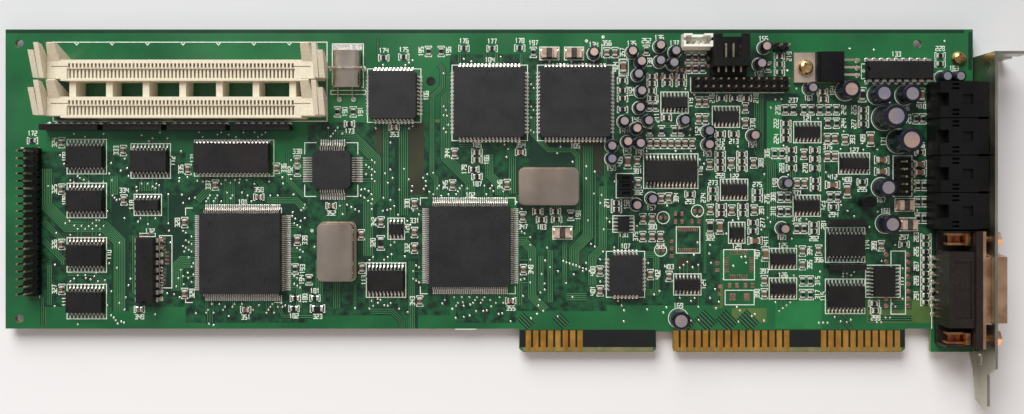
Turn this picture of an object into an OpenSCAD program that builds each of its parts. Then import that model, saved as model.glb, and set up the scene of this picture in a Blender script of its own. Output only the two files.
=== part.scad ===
// Full-length ISA sound card, lying component side up as it would on a bench.
// Places on the board are given from its top left corner: x to the right, y down towards the edge connector.
// The frame's origin is under the middle of the whole card, with z = 0 at the bracket's lower edge.

/* [Circuit board] */
// Length of the board
board_l = 333; // [333:0.5:334]
// Height of the board without its edge connector tabs
board_h = 103; // [102:0.5:104]
// Thickness of the board
board_t = 1.6; // [1.5:0.1:1.7]
// How far the edge connector tabs stand out of the board
tab_h = 8; // [7.5:0.5:8.5]
// Pitch of the edge connector fingers and of the pin rows
pitch = 2.54; // [2.54]

/* [Bracket] */
// Height of the bracket, from its bent tab to its tongue
bracket_h = 120; // [118:0.5:121]
// Width of the bracket across the slot
bracket_w = 18.4; // [18:0.1:18.6]
// Thickness of the bracket's sheet
bracket_t = 0.9; // [0.8:0.1:1]
// Length of the bent tab
bracket_tab = 11.4; // [11:0.1:12]
// How far the bracket's top lies below the board's top edge
bracket_drop = 9.5; // [9:0.5:10]
// Height of the board's upper face above the bracket's lower edge
top_z = 4; // [3.8:0.1:4.2]

/* [Audio jacks] */
// Distance between two jacks
jack_pitch = 12.4; // [12.3:0.1:12.7]
// Diameter of a jack's hole
jack_bore_d = 3.6; // [3.5:0.05:3.7]
// Height of a jack's axis above the board
jack_axis_h = 5.6; // [5.4:0.1:6]

/* [Memory socket] */
// Number of slots in the comb of each row
comb_count = 60; // [40:1:60]
// Distance between two comb slots
comb_pitch = 1.27; // [1.27]
// Height of the socket's rows above the board
socket_h = 8; // [7:0.5:9]

/* [Hidden] */
$fn = 24;
card_l = board_l + 0.5 + bracket_tab;
card_d = bracket_drop + bracket_h;
plate_x = board_l + 0.5;
under_z = top_z - board_t;
tail_z = 1.2;

// Edge connector: tabs and key notch along the board's lower edge
tab_long = [229.7, 309.7];
tab_short = [176.8, 224];
finger_x = 307;
finger_w = 1.8;
finger_l = 7.2;

// Through-hole pins, each as [x, y]
ribbon_pins = [for (i = [0:19], j = [0, 1]) [8.7 + j * pitch, 42 + i * pitch]];
expansion_pins = [for (i = [0:12], j = [0, 1]) [237.2 + i * pitch, 17.8 + j * pitch]];
jumper_pins = [for (i = [0:4], j = [0, 1]) [307 + j * pitch, 45.6 + i * pitch]];
shunt_pins = [for (i = [0:2], j = [0, 1]) [211.6 + j * pitch, 51.2 + i * pitch]];
speaker_pins = [for (i = [0, 1]) [265.2 + i * pitch, 6.3]];
post_pins = concat(jumper_pins, shunt_pins, speaker_pins);
cd_pins = [for (i = [0:3]) [234.4 + i * 2, 5]];
aux_pins = [for (i = [0:3]) [244.74 + i * pitch, 14.8]];
network_pins = [for (n = [0:3], i = [0:7]) [15 + n * 21.7 + i * pitch, 32.7]];
small_network_pins = [for (y = [66.2, 81.6], i = [0:4]) [284 + i * pitch, y]];
regulator_y = 13.3;
regulator_pins = [for (i = [-1:1]) [293, regulator_y + i * pitch]];
transistor_pins = [for (i = [-1:1]) [295.6 + i * 1.3, 59.7]];
dip_places = [[49.7, 82.6, 90], [306.6, 14.4, 0]];
oscillator_places = [[114.5, 76.4, 90], [187, 54, 0]];
crystal_pins = [for (i = [0, 1]) [114.9 + i * 4.9, 24.1]];
strap_pins = [for (x = [112.4, 123.4]) [x, 13.6]];
jack_y = [for (i = [0:3]) 25 + i * jack_pitch];
jack_pins = [for (y = jack_y, q = [[319, -4.5], [319, 4.5], [323.5, 0], [328, -4.5], [328, 4.5]]) [q[0], y + q[1]]];
game_y = 88.4;
game_pins_rear = [for (i = [0:7]) [319.1, game_y + (i - 3.5) * 2.77]];
game_pins_front = [for (i = [0:6]) [321.9, game_y + (i - 3) * 2.77]];
boardlock_places = [for (s = [-1, 1]) [324.5, game_y + s * 16.65]];

// Surface-mounted chips, each as [x, y, turn]
wide_20_places = [
    [28, 43.8, 0], [28, 58.9, 0], [28, 77.6, 0], [28, 93.7, 0],
    [50, 45.3, 0], [131, 86.3, 0], [289, 74.2, 0], [289, 91.9, 0]];
wide_28_places = [[229, 48.8, 0]];
wide_16_places = [[302, 86.7, 90]];
narrow_14_places = [
    [49, 60.4, 0], [230.3, 25.2, 0], [248, 30.1, 0], [276, 35.4, 0], [250.8, 55.2, 0],
    [275.8, 60.7, 0], [234.7, 87.8, 0], [267.6, 79, 0], [267.6, 89.2, 0]];
narrow_16_places = [[292.1, 46.2, 0]];
narrow_8_places = [[134.5, 68.6, 0], [251.7, 70, 0], [212.7, 67, 90]];

// Electrolytic capacitors, each as [x, y]
small_can_places = [
    [202.4, 8.4], [215.5, 8], [225, 6], [230.2, 7.9], [218.5, 11.5], [225, 11.2], [229.5, 12],
    [217.5, 15.8], [218.6, 21.5], [218, 27.1], [212.7, 31.8], [221, 31.6], [217, 34.2],
    [213.9, 38.7], [218.2, 39.3], [208.5, 40.2], [208.5, 44.6], [233.3, 31.5], [241.5, 35.1],
    [241.5, 39.7], [257, 36.6], [260.9, 6.4], [259.2, 12.2], [222.3, 58.2], [217, 60.3],
    [268.1, 52.9], [267.1, 68.4], [276.5, 20.5], [322, 16.6], [326.5, 16.6]];
medium_can_places = [[289, 21.2], [300, 22.6], [309.5, 22.7], [301.4, 54.4], [302.8, 66.8], [231.6, 99.4]];
large_can_places = [[302.3, 30.6], [307.4, 38.5]];
function can_legs(places, d) = [for (p = places, s = [-1, 1]) [p[0] + s * d / 4, p[1]]];

// Memory socket: top edge of each row, and the row's two ends
socket_rows = [11.5, 23.9];
row_d = 7.05;
row_x = [18.7, 108.5];
row_step = 4.5;
comb_x = 63.6 - comb_pitch * (comb_count - 1) / 2;
rib_x = [for (i = [0:6]) 26.6 + i * 12.35];
socket_pegs = [for (x = [20.6, 106.6], y = [15.2, 27.6]) [x, y]];

// Square chips
quad_h = 3.6;
quad_marks = [for (x = [-9.6, 9.6], y = [-9.6, 9.6]) [x, y]];
synth_place = [81.7, 76.9];
bus_place = [160, 74.5];
converter_place = [112.7, 48.3];
plcc_h = 4.4;
plcc_lift = 0.6;
plcc_68_places = [[166.7, 25.3], [196.1, 25.3]];
plcc_44_place = [133.8, 22.8];
plcc_32_place = [213.4, 84.3];
memory_chip_place = [78.7, 44.3];

// Chip resistors and capacitors: lying ones are along x, standing ones along y
function lying(places) = [for (p = places) [p[0], p[1], 0]];
function standing(places) = [for (p = places) [p[0], p[1], 90]];
function grid(xs, ys) = [for (y = ys, x = xs) [x, y]];

// Between the logic chips and along the top edge
logic_resistors = concat(
    lying([[9.3, 38.3], [118.4, 32.5], [130.2, 9.8], [137.1, 9.5], [157.8, 6.5], [167.5, 6.6], [177, 6.4]]),
    lying([[161.2, 48.2], [99.8, 92.6], [106.5, 92.5], [99.3, 96.1], [184.5, 65.5], [189.7, 65.4]]),
    lying(grid([162.3], [42.3, 44.9, 50.7])),
    lying(grid([183.2, 189.3], [62.7])),
    standing([[114.3, 28.4], [119.7, 28.4], [100.5, 48.8], [99.7, 82.5], [104.5, 86.2], [145.6, 7.6], [150, 7.6], [181.7, 7.9], [194.6, 64]]));
logic_capacitors = concat(
    standing(grid([19.4], [39, 55, 74, 89.5])),
    standing(grid([61.7], [66.5, 90.9])),
    standing(grid([140.8], [60, 69.9, 75.3])),
    standing([[40.6, 41.7], [40.8, 58.7], [62.9, 48.2], [93.3, 47.8], [72.3, 53.6], [100.4, 45.3], [100.5, 72.6]]),
    standing([[122.5, 70.7], [122.7, 82.2], [129.3, 66.3], [142.6, 93.5], [154.6, 42.7], [153.9, 53.6]]),
    standing([[172.7, 53.4], [178.1, 64.6], [178.3, 82.7]]),
    lying([[46.1, 96.4], [87.2, 57.7], [82.7, 96.5], [112.1, 60.7], [133.8, 33.6], [177.3, 42.3], [173.9, 93.4]]));

// Round the mixer chips, the sockets and the regulator
mixer_resistors = concat(
    lying(grid([222.6, 227.8, 232.6], [16.2, 18.6])),
    lying(grid([212.4], [17.6, 21, 23.8, 27.6])),
    lying([[222.3, 21.2], [222.8, 23.8], [227.5, 30.4], [246, 36], [250.7, 36], [281.2, 21.5], [281.5, 24]]),
    lying(grid([246.5, 251, 255], [23.7])),
    lying(grid([266.4], [9.3, 12, 14.8])),
    lying(grid([268.6], [32.4, 35.1, 37.7])),
    lying(grid([295.3], [27.7, 30.2, 32.6])),
    lying(grid([321.7], [9.1, 11.9])),
    standing(grid([221.7, 223.7], [26.4])),
    standing(grid([221.7, 225.8, 230.2, 232.4], [34.9])),
    standing(grid([268.4, 271.2, 274.8, 277.3, 280.3, 283.2, 286], [27.7])),
    standing(grid([283, 286], [32.3])),
    standing(grid([235, 237.5, 240], [9.6, 13.4])),
    standing([[262.4, 13], [220.6, 7.2], [313.4, 30.8], [315.8, 30.8]]));
mixer_capacitors = concat(
    standing(grid([207, 209.8], [8])),
    standing(grid([238.6, 241], [25, 30.8])),
    standing(grid([for (i = [0:6]) 221.8 + i * 2.43], [39.3])),
    standing([[254.7, 27], [254.7, 32.3]]));

// Over the lower right quarter of the board
amplifier_resistors = concat(
    lying(grid([246, 253.5], [43, 45.4, 47.8])),
    lying(grid([246.4, 253.8], [61, 63.4])),
    lying(grid([270.5, 278.6], [41.5, 44.6, 47.7])),
    lying(grid([210.3], [59.7, 62])),
    lying(grid([243.5], [55.3, 58])),
    lying(grid([258.8], [55.9, 58.3])),
    lying(grid([257.3], [66.5, 69.4])),
    lying(grid([278.8], [52, 54.5])),
    lying(grid([278.3], [67.2, 69.5])),
    lying(grid([316.8], [for (i = [0:9]) 71.5 + i * 2.5])),
    lying([[235.6, 56.7], [285, 61.2], [294.9, 52.5], [314.8, 42.3], [309.3, 74], [299, 94.3], [299.5, 96.8]]),
    standing(grid([314, 316.2], [53.7, 59.3, 65])),
    standing(grid([264.7, 267.2], [42.7])),
    standing(grid([266.8, 269.3], [57.8, 62.7])),
    standing(grid([272.3, 274.8], [68.5])),
    standing(grid([274.4, 277], [86.6, 91.3])),
    standing(grid([283.8, 286.4], [57.7])));
amplifier_capacitors = concat(
    standing(grid([272.5, 275], [53])),
    standing(grid([282.9, 285.5], [37.6, 43.7])),
    standing(grid([219.4, 222.6], [65.2, 71.3])),
    standing([[217.5, 45.5], [217.8, 52.8], [225.7, 58.2], [228.3, 58], [225.5, 71.3], [242.4, 46.5], [242.6, 62]]),
    standing([[249.8, 46], [257.5, 46], [250, 62.2], [257.7, 62.2], [274.8, 43], [289, 38], [274.3, 76.3]]),
    standing([[274.3, 81], [279.9, 76], [261.2, 86.5], [261.2, 91], [301.5, 74.5], [204.7, 83.2], [204.7, 90]]),
    standing([[222, 84.4], [228.4, 85]]));

resistor_places = concat(logic_resistors, mixer_resistors, amplifier_resistors);
capacitor_places = concat(logic_capacitors, mixer_capacitors, amplifier_capacitors);
large_resistor_places = concat(
    standing([[129.2, 73.5], [294.9, 22.5], [242.5, 68]]),
    lying([[107.4, 96.1]]));
large_capacitor_places = concat(
    standing([[212.7, 12.9], [214.2, 45.5], [245.9, 68], [261.5, 77.3], [289.7, 55.5], [297.8, 37.8], [315.2, 22.7]]),
    lying([[258, 72.7], [284.7, 53.5], [301.6, 44.9], [301.6, 48.9], [314.6, 46.4], [314.6, 49.2]]));

// Moves a piece to a place on the board, turned about z, standing on the board's upper face
module at(p, z = top_z) {
    translate([p[0] - card_l / 2, card_d / 2 - p[1], z]) rotate([0, 0, len(p) > 2 ? p[2] : 0]) children();
}

// Puts the children at each place of a list
module at_each(places, z = top_z) {
    for (p = places) at(p, z) children();
}

// A box centred in x and y that stands on z = 0
module block(l, w, h) {
    translate([-l / 2, -w / 2, 0]) cube([l, w, h]);
}

// A square with cut corners, as on a chip body
module cut_square(l, w, cut) {
    polygon([
        [-l / 2 + cut, -w / 2], [l / 2 - cut, -w / 2], [l / 2, -w / 2 + cut], [l / 2, w / 2 - cut],
        [l / 2 - cut, w / 2], [-l / 2 + cut, w / 2], [-l / 2, w / 2 - cut], [-l / 2, -w / 2 + cut]]);
}

// The circuit board with its tabs, its holes and its key notch
module board_outline() {
    bottom = board_h + tab_h;
    chamfer = 1.2;
    points = [
        [0, 0], [board_l, 0], [board_l, bottom], [318.5, bottom], [318.5, board_h],
        [tab_long[1], board_h], [tab_long[1], bottom - chamfer], [tab_long[1] - chamfer, bottom],
        [tab_long[0] + chamfer, bottom], [tab_long[0], bottom - chamfer], [tab_long[0], board_h + 1],
        [tab_short[1], board_h + 1], [tab_short[1], bottom - chamfer], [tab_short[1] - chamfer, bottom],
        [tab_short[0] + chamfer, bottom], [tab_short[0], bottom - chamfer], [tab_short[0], board_h],
        [0, board_h]];
    polygon([for (q = points) [q[0], -q[1]]]);
}

module round_holes(places, d) {
    for (p = places) translate([p[0], -p[1]]) circle(d = d);
}

module circuit_board() {
    color([0.13, 0.44, 0.25])
    translate([-card_l / 2, card_d / 2, under_z])
    linear_extrude(board_t) difference() {
        board_outline();
        round_holes([[4.7, 4.9], [4.7, 99.5], [314, 5], [314, 98.4]], 3);
        round_holes([[146.4, 17.9], [146.4, 95.9], [273.8, 95.8]], 3.2);
        round_holes(concat(ribbon_pins, expansion_pins, post_pins), 1.05);
        round_holes(concat(network_pins, small_network_pins, cd_pins, aux_pins), 0.9);
        round_holes(concat(regulator_pins, jack_pins, game_pins_rear, game_pins_front), 1.5);
        round_holes(concat(transistor_pins, crystal_pins), 0.8);
        round_holes(strap_pins, 1);
        round_holes(concat(can_legs(small_can_places, 4), can_legs(medium_can_places, 6.3), can_legs(large_can_places, 8)), 0.8);
        round_holes(boardlock_places, 3.2);
        round_holes([[328, 10]], 2.6);
        round_holes([[274.8, regulator_y]], 3.2);
        for (p = socket_pegs) translate([p[0], -p[1]]) circle(d = 2.6);
        for (p = dip_places, s = [-1, 1], i = [0:8])
            translate([p[0], -p[1]]) rotate(p[2]) translate([(i - 4) * pitch, s * 3.81]) circle(d = 0.9);
        for (p = oscillator_places, s = [-1, 1], t = [-1, 1])
            translate([p[0], -p[1]]) rotate(p[2]) translate([s * 7.62, t * 3.81]) circle(d = 0.9);
    }
}

// Gold fingers on both faces of the tabs
module finger_row(first, last) {
    for (i = [first:last])
        translate([finger_x - i * pitch - finger_w / 2, -(board_h + tab_h - 0.2), 0])
            cube([finger_w, finger_l, 0.05]);
}

module edge_contacts() {
    color([0.86, 0.62, 0.25])
    translate([-card_l / 2, card_d / 2, 0]) {
        translate([0, 0, top_z]) {
            finger_row(0, 10);
            finger_row(15, 30);
            finger_row(43, 50);
        }
        translate([0, 0, under_z - 0.05]) {
            finger_row(0, 30);
            finger_row(33, 50);
        }
    }
}

// The bracket: a folded sheet with a bent tab on top, a tongue below and ears under the board
module bracket_plate() {
    tongue = [2.6, 13];
    shoulder = card_d - 12.5;
    difference() {
        polygon([
            [0, -bracket_drop], [bracket_w, -bracket_drop],
            [bracket_w, -shoulder + 3], [tongue[1], -shoulder], [tongue[1], -card_d + 2],
            [tongue[1] - 2, -card_d], [tongue[0] + 2, -card_d + 2.4], [tongue[0], -shoulder],
            [0, -shoulder + 5]]);
        for (y = jack_y) translate([top_z + jack_axis_h, -y]) circle(d = 8);
        translate([top_z + 6.3, -game_y]) {
            polygon([[-5.6, -12.9], [5.6, -11.4], [5.6, 11.4], [-5.6, 12.9]]);
            for (s = [-1, 1]) translate([0, s * 16.65]) circle(d = 3.2);
        }
        translate([8, -shoulder + 4]) {
            for (s = [-1, 1]) translate([0, s]) circle(d = 2.4);
            square([2.4, 2], center = true);
        }
    }
}

module bracket() {
    color([0.62, 0.62, 0.58])
    translate([plate_x - card_l / 2, card_d / 2, 0]) {
        rotate([90, 0, 90]) linear_extrude(bracket_t) rotate(90) mirror([0, 1]) bracket_plate();
        translate([0, -bracket_drop - bracket_t, 0]) difference() {
            cube([bracket_tab, bracket_t, bracket_w]);
            translate([bracket_tab - 5.4, -1, 9.2]) rotate([-90, 0, 0]) cylinder(d = 4.4, h = 3);
            translate([bracket_tab - 5.4, -1, 7]) cube([8, 3, 4.4]);
        }
        translate([-10, -13.4, under_z - bracket_t]) difference() {
            cube([10.4, 6.6, bracket_t]);
            translate([4.5, 3.4, -1]) cylinder(d = 2.6, h = 3);
        }
    }
}

// Pan-head cross-recess screw whose head sits at z = 0
module pan_screw(d, head_d, shank, tip) {
    difference() {
        rotate_extrude() polygon([
            [0, -shank], [d / 2 - 0.3, -shank], [d / 2, -shank + 0.4], [d / 2, 0], [head_d / 2, 0],
            [head_d / 2, 0.7], [head_d / 2 - 0.5, 1.4], [head_d / 2 - 1.3, 1.75], [0, 1.8]]);
        translate([0, 0, 0.9]) for (a = [0, 90]) rotate(a) block(0.6, head_d * 0.6, 2);
    }
}

module board_screws() {
    color([0.8, 0.65, 0.4]) {
        at([328, 10]) pan_screw(2.5, 4.9, 3.2);
        at([274.8, regulator_y], top_z + 2) rotate(30) pan_screw(3, 5, 4.8);
    }
}

// A right-angle 3.5 mm jack seen from above: slotted rear, square recess, collar and barrel
module audio_jack(i) {
    w = jack_pitch - 0.3;
    h = 11;
    color([0.07, 0.07, 0.07])
    at([plate_x, jack_y[i]]) difference() {
        union() {
            translate([-16.4, -w / 2, 0]) cube([12.6, w, h]);
            translate([-3.8, -w / 2 + 0.25, 0]) cube([3.6, w - 0.5, h - 0.4]);
            translate([-0.2, 0, jack_axis_h]) rotate([0, 90, 0]) cylinder(d = 7.6, h = 1.7);
        }
        translate([-14, 0, jack_axis_h]) rotate([0, 90, 0]) cylinder(d = jack_bore_d, h = 18);
        for (s = [-1, 1], k = [0, 1.4])
            translate([-12.6, s * (3.6 + k) - 0.35, h - 1.6]) cube([2.4, 0.7, 2]);
        translate([-9, -1.7, h - 0.8]) cube([3.4, 3.4, 1]);
        translate([-16.6, -2.2, h - 3.2]) cube([3, 4.4, 4]);
        for (x = [-14.5, -10, -5.5], y = [-4.5, 0, 4.5])
            translate([x - 0.9, y - 0.9, -0.1]) cube([1.8, 1.8, 0.6]);
    }
}

module audio_jack_contacts() {
    color([0.75, 0.72, 0.66])
    for (p = jack_pins) at(p, tail_z) block(1, 0.5, top_z + 0.4 - tail_z);
}

// The fifteen-way game port
module d_outline(l, w, slant) {
    polygon([[-w / 2, -l / 2], [w / 2, -l / 2 + slant], [w / 2, l / 2 - slant], [-w / 2, l / 2]]);
}

module game_port_housing() {
    color([0.06, 0.06, 0.06])
    at([plate_x, game_y]) difference() {
        union() {
            translate([-13.8, -19.5, 0]) cube([10.8, 39, 2.4]);
            translate([-13.8, -12.6, 0]) cube([10.8, 25.2, 11.6]);
            translate([-5.2, -19.5, 0]) cube([2.2, 39, 12.4]);
            for (s = [-1, 1]) translate([-13.8, s * 19.15 - 0.35, 0]) cube([10.8, 0.7, 9.6]);
        }
        for (s = [-1, 1]) {
            translate([-9, s * 16.65, -1]) cylinder(d = 3.4, h = 5);
            translate([-6, s * 16.65, 6.3]) rotate([0, 90, 0]) cylinder(d = 3.4, h = 4);
        }
        translate([-12, -9.5, 11.2]) cube([5.6, 19, 1]);
        for (p = game_pins_front) translate([p[0] - plate_x, game_y - p[1], -1]) cylinder(d = 1.6, h = 5);
        for (p = game_pins_rear) translate([-13.9, game_y - p[1] - 0.4, 4.5]) cube([2, 0.8, 0.8]);
    }
}

module game_port_shell() {
    color([0.8, 0.78, 0.72])
    at([plate_x, game_y], top_z + 6.3) {
        difference() {
            union() {
                translate([-3, -19.5, -6.2]) cube([1, 39, 12.4]);
                translate([-2, 0, 0]) rotate([0, 90, 0]) linear_extrude(7.4)
                    rotate(180) d_outline(25, 10.8, 1.5);
            }
            translate([-4, 0, 0]) rotate([0, 90, 0]) linear_extrude(11)
                rotate(180) d_outline(24, 9.8, 1.45);
            for (s = [-1, 1]) translate([-4, s * 16.65, 0]) rotate([0, 90, 0]) cylinder(d = 3.2, h = 4);
        }
    }
}

module game_port_insert() {
    color([0.05, 0.05, 0.05])
    at([plate_x, game_y], top_z + 6.3)
    translate([-3, 0, 0]) rotate([0, 90, 0]) linear_extrude(7.6) rotate(180) difference() {
        d_outline(23.8, 9.6, 1.45);
        for (i = [0:7]) translate([-1.42, (i - 3.5) * 2.77]) circle(d = 1.2);
        for (i = [0:6]) translate([1.42, (i - 3) * 2.77]) circle(d = 1.2);
    }
}

module game_port_pins() {
    color([0.8, 0.7, 0.45]) {
        at_each(game_pins_front, tail_z) block(0.7, 0.7, top_z + 2.5 - tail_z);
        at_each(game_pins_rear, tail_z) union() {
            block(0.7, 0.7, top_z + 4.6 - tail_z);
            translate([-0.35, -0.35, top_z + 4.55 - tail_z]) cube([2, 0.7, 0.7]);
        }
    }
}

// Board lock: a folded brass clip that grips the board and holds the jackscrew
module game_port_boardlocks() {
    color([0.75, 0.55, 0.3])
    for (s = [-1, 1]) at([plate_x, game_y + s * 16.65]) {
        for (t = [-1, 1]) translate([-12.6, t * 1.6 - 0.4, 2.4]) cube([5.4, 0.8, 5]);
        translate([-7.2, -2, 2.4]) difference() {
            cube([1.6, 4, 6.8]);
            translate([-1, 2, 3.9]) rotate([0, 90, 0]) cylinder(d = 2.9, h = 4);
        }
        translate([-9, 0, -board_t - 1.1]) difference() {
            cylinder(d = 3, h = board_t + 3.5);
            block(0.8, 4, 2.5);
        }
        translate([-10.6, -1.4, 2.4]) cube([3.4, 2.8, 0.8]);
    }
}

module game_port_jackscrews() {
    color([0.72, 0.7, 0.66])
    for (s = [-1, 1]) at([plate_x, game_y + s * 16.65], top_z + 6.3) rotate([0, 90, 0]) {
        translate([0, 0, -5.4]) cylinder(d = 2.7, h = 5.4 + bracket_t + 0.1);
        translate([0, 0, bracket_t]) difference() {
            cylinder(d = 5.4, h = 4.2, $fn = 6);
            translate([0, 0, 1]) cylinder(d = 2.4, h = 5);
        }
    }
}

// The dual memory socket: two combed rows joined by ribs, with a guide and a sprung latch at each end
module socket_row(y) {
    comb_l = comb_pitch * (comb_count - 1);
    translate([0, -y - row_d, 0]) difference() {
        union() {
            translate([row_x[0], 0.7, 0]) cube([row_x[1] - row_x[0], row_d - 0.7, socket_h]);
            translate([row_x[0] + row_step, 0, 0]) cube([row_x[1] - row_x[0] - 2 * row_step, 1, socket_h]);
        }
        translate([comb_x - 0.8, 0.7, socket_h - 0.6]) cube([comb_l + 1.6, 3.4, 1]);
        for (i = [0:comb_count - 1]) translate([comb_x + i * comb_pitch, 0, 0]) {
            translate([-0.3, 0.9, socket_h - 3]) cube([0.6, 3, 4]);
            translate([-0.35, 4.35, socket_h - 4]) cube([0.7, 1.5, 5]);
        }
        for (x = [row_x[0] + 1.4, row_x[1] - 7.2]) translate([x, 4.6, socket_h - 0.5]) cube([5.8, 0.35, 1]);
    }
}

// A wall of width w along x whose profile is given as [towards the top edge, height]
module wall(x, w, profile) {
    translate([x, 0, 0]) rotate([90, 0, 90]) linear_extrude(w) polygon(profile);
}

// The leaning guide and the two arms of the latch at one end of a row
module latch_tower(y) {
    h = socket_h;
    translate([0, -y, 0]) {
        intersection() {
            wall(0, 5, [[-1.6, 0], [0.8, 0], [5.6, h + 2], [5.2, h + 3.2], [0, h + 0.3], [-1.6, h - 0.6]]);
            linear_extrude(h + 4) polygon([[0.1, -2], [4.4, -2], [4.1, 6], [1.5, 6]]);
        }
        wall(-1.7, 1.6, [[-6.2, 5.4], [-1, 6], [4.7, h + 2.8], [5.1, h + 5.2], [-6.2, h + 1.8]]);
        wall(-3.8, 1.9, [[-6.2, 5.4], [-1, 6], [2.3, h + 2.2], [2.7, h + 4.8], [-6.2, h + 1.6]]);
        translate([-3.8, -6.2, 5.4]) cube([4, 1.6, h - 5.4]);
        translate([-1.7, -6.3, 0]) cube([1.9, 5.2, 6]);
    }
}

module memory_socket_housing() {
    color([0.88, 0.8, 0.69])
    translate([-card_l / 2, card_d / 2, top_z]) {
        for (y = socket_rows) {
            socket_row(y);
            translate([row_x[0], 0, 0]) latch_tower(y);
            translate([row_x[1], 0, 0]) mirror([1, 0]) latch_tower(y);
        }
        for (x = rib_x) translate([x - 1.1, -socket_rows[1] - 0.5, 0]) cube([2.2, 6.4, socket_h - 1.4]);
        for (p = socket_pegs) translate([p[0], -p[1], -3.4]) cylinder(d = 2.4, h = 4);
    }
}

module memory_socket_contacts() {
    color([0.9, 0.84, 0.66])
    for (y = socket_rows, i = [0:2:comb_count - 1])
        at([comb_x + i * comb_pitch, y + row_d - 4.8], top_z + socket_h - 4) block(0.5, 0.4, 3.4);
}

// Resistor networks standing in a line under the memory socket
module resistor_networks() {
    color([0.12, 0.11, 0.1]) {
        for (n = [0:3]) at([23.9 + n * 21.7, 33.85], top_z + 0.4) block(19.8, 2, 4.2);
        for (y = [66.2, 81.6]) at([289.1, y], top_z + 0.4) block(12.8, 1.8, 2.4);
    }
}

module resistor_network_pins() {
    color([0.75, 0.73, 0.7])
    {
        at_each(network_pins, tail_z) block(0.5, 0.3, top_z + 2.6 - tail_z);
        at_each(small_network_pins, tail_z) block(0.5, 0.3, top_z + 0.4 - tail_z);
    }
}

// Pin header base: a row of cells with cut corners, drilled for its posts
module header_base(columns, rows, h = 2.5) {
    linear_extrude(h) difference() {
        union() {
            for (i = [0:columns - 1])
                translate([i * pitch, (rows - 1) * pitch / 2]) cut_square(pitch, rows * pitch, 0.5);
        }
        for (i = [0:columns - 1], j = [0:rows - 1]) translate([i, j] * pitch) square(0.66, center = true);
    }
}

module ribbon_header_base() {
    color([0.09, 0.08, 0.08]) at([8.7, 42, -90]) header_base(20, 2);
}

module expansion_header_base() {
    color([0.09, 0.08, 0.08]) at([237.2, 17.8 + pitch]) header_base(13, 2);
}

module jumper_bases() {
    color([0.09, 0.08, 0.08]) {
        at([307, 45.6, -90]) header_base(5, 2);
        at([211.6, 51.2, -90]) header_base(3, 2);
        at([265.2, 6.3]) header_base(2, 1);
    }
}

// Square post with a pointed tip
module post(h) {
    block(0.64, 0.64, h - 0.4);
    translate([0, 0, h - 0.4]) block(0.4, 0.4, 0.4);
}

module ribbon_header_pins() {
    color([0.8, 0.75, 0.68]) at_each(ribbon_pins, tail_z) post(top_z + 8.5 - tail_z);
}

module header_pins() {
    color([0.8, 0.75, 0.68]) {
        at_each(concat(expansion_pins, jumper_pins, speaker_pins), tail_z) post(top_z + 8.5 - tail_z);
        at_each(shunt_pins, tail_z) post(top_z + 7 - tail_z);
    }
}

// Jumper shunts, each over two posts
module jumper_shunts() {
    color([0.07, 0.07, 0.07])
    for (i = [0:2]) at([211.6 + pitch / 2, 51.2 + i * pitch], top_z + 2.6) difference() {
        block(4.9, 2.3, 6);
        for (s = [-1, 1]) translate([s * pitch / 2, 0, -0.1]) block(0.7, 0.7, 4.8);
        translate([0, 0, 5.2]) block(2.6, 1.1, 2);
    }
}

// White four-way socket for the drive's audio lead, open on top
module cd_socket() {
    color([0.93, 0.93, 0.88])
    at([237.4, 4.7]) difference() {
        union() {
            block(9.8, 4.4, 7);
            block(9.8, 5.2, 2);
        }
        translate([0, 0.1, 1.6]) block(8.4, 3, 6);
        translate([0, 2, 3]) block(4, 1.4, 6);
        for (s = [-1, 1]) translate([s * 4.8, 0.4, 4]) block(1.6, 1.2, 4);
        for (i = [0:3]) translate([-3 + i * 2, -0.3, -1]) block(0.55, 0.55, 4);
    }
}

// Black right-angle four-way socket, open towards the top edge
module aux_socket() {
    color([0.1, 0.1, 0.11])
    at([248.55, 8.1]) difference() {
        union() {
            translate([-6.05, -5.4, 0]) cube([12.1, 10.8, 8]);
            translate([-6.05, -8.1, 0]) cube([12.1, 2.8, 2.6]);
        }
        translate([-5, -4, 1.2]) cube([10, 12, 6]);
        translate([-3.2, -2.5, 6]) cube([6.4, 10, 3]);
        for (i = [0:3]) translate([(i - 1.5) * pitch, -6.7, -1]) block(0.7, 0.7, 5);
        for (i = [0:3]) translate([(i - 1.5) * pitch - 0.35, -6, 3.2]) cube([0.7, 4, 0.7]);
    }
}

module audio_socket_pins() {
    color([0.82, 0.78, 0.7]) {
        at_each(cd_pins, tail_z) block(0.5, 0.5, top_z + 5.6 - tail_z);
        at_each(aux_pins, tail_z) union() {
            block(0.64, 0.64, top_z + 3.87 - tail_z);
            translate([-0.32, 0, top_z + 3.23 - tail_z]) cube([0.64, 9.4, 0.64]);
        }
    }
}

// A moulded chip body, drafted away from its parting line, with round marks pressed into its top
module chip_body(l, w, h, cut = 0.1, lift = 0.1, marks = [], mark_d = 1.2) {
    draft = 0.3;
    mid = lift + (h - lift) / 2;
    difference() {
        intersection() {
            linear_extrude(h) cut_square(l, w, cut);
            rotate([90, 0, 0]) linear_extrude(w + 2, center = true) chip_profile(l, h, lift, mid, draft);
            rotate([90, 0, 90]) linear_extrude(l + 2, center = true) chip_profile(w, h, lift, mid, draft);
        }
        for (m = marks) translate([m[0], m[1], h - 0.12]) cylinder(d = mark_d, h = 1);
    }
}

module chip_profile(l, h, lift, mid, draft) {
    polygon([
        [-l / 2 + draft, lift], [l / 2 - draft, lift], [l / 2, mid],
        [l / 2 - draft, h], [-l / 2 + draft, h], [-l / 2, mid]]);
}

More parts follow.
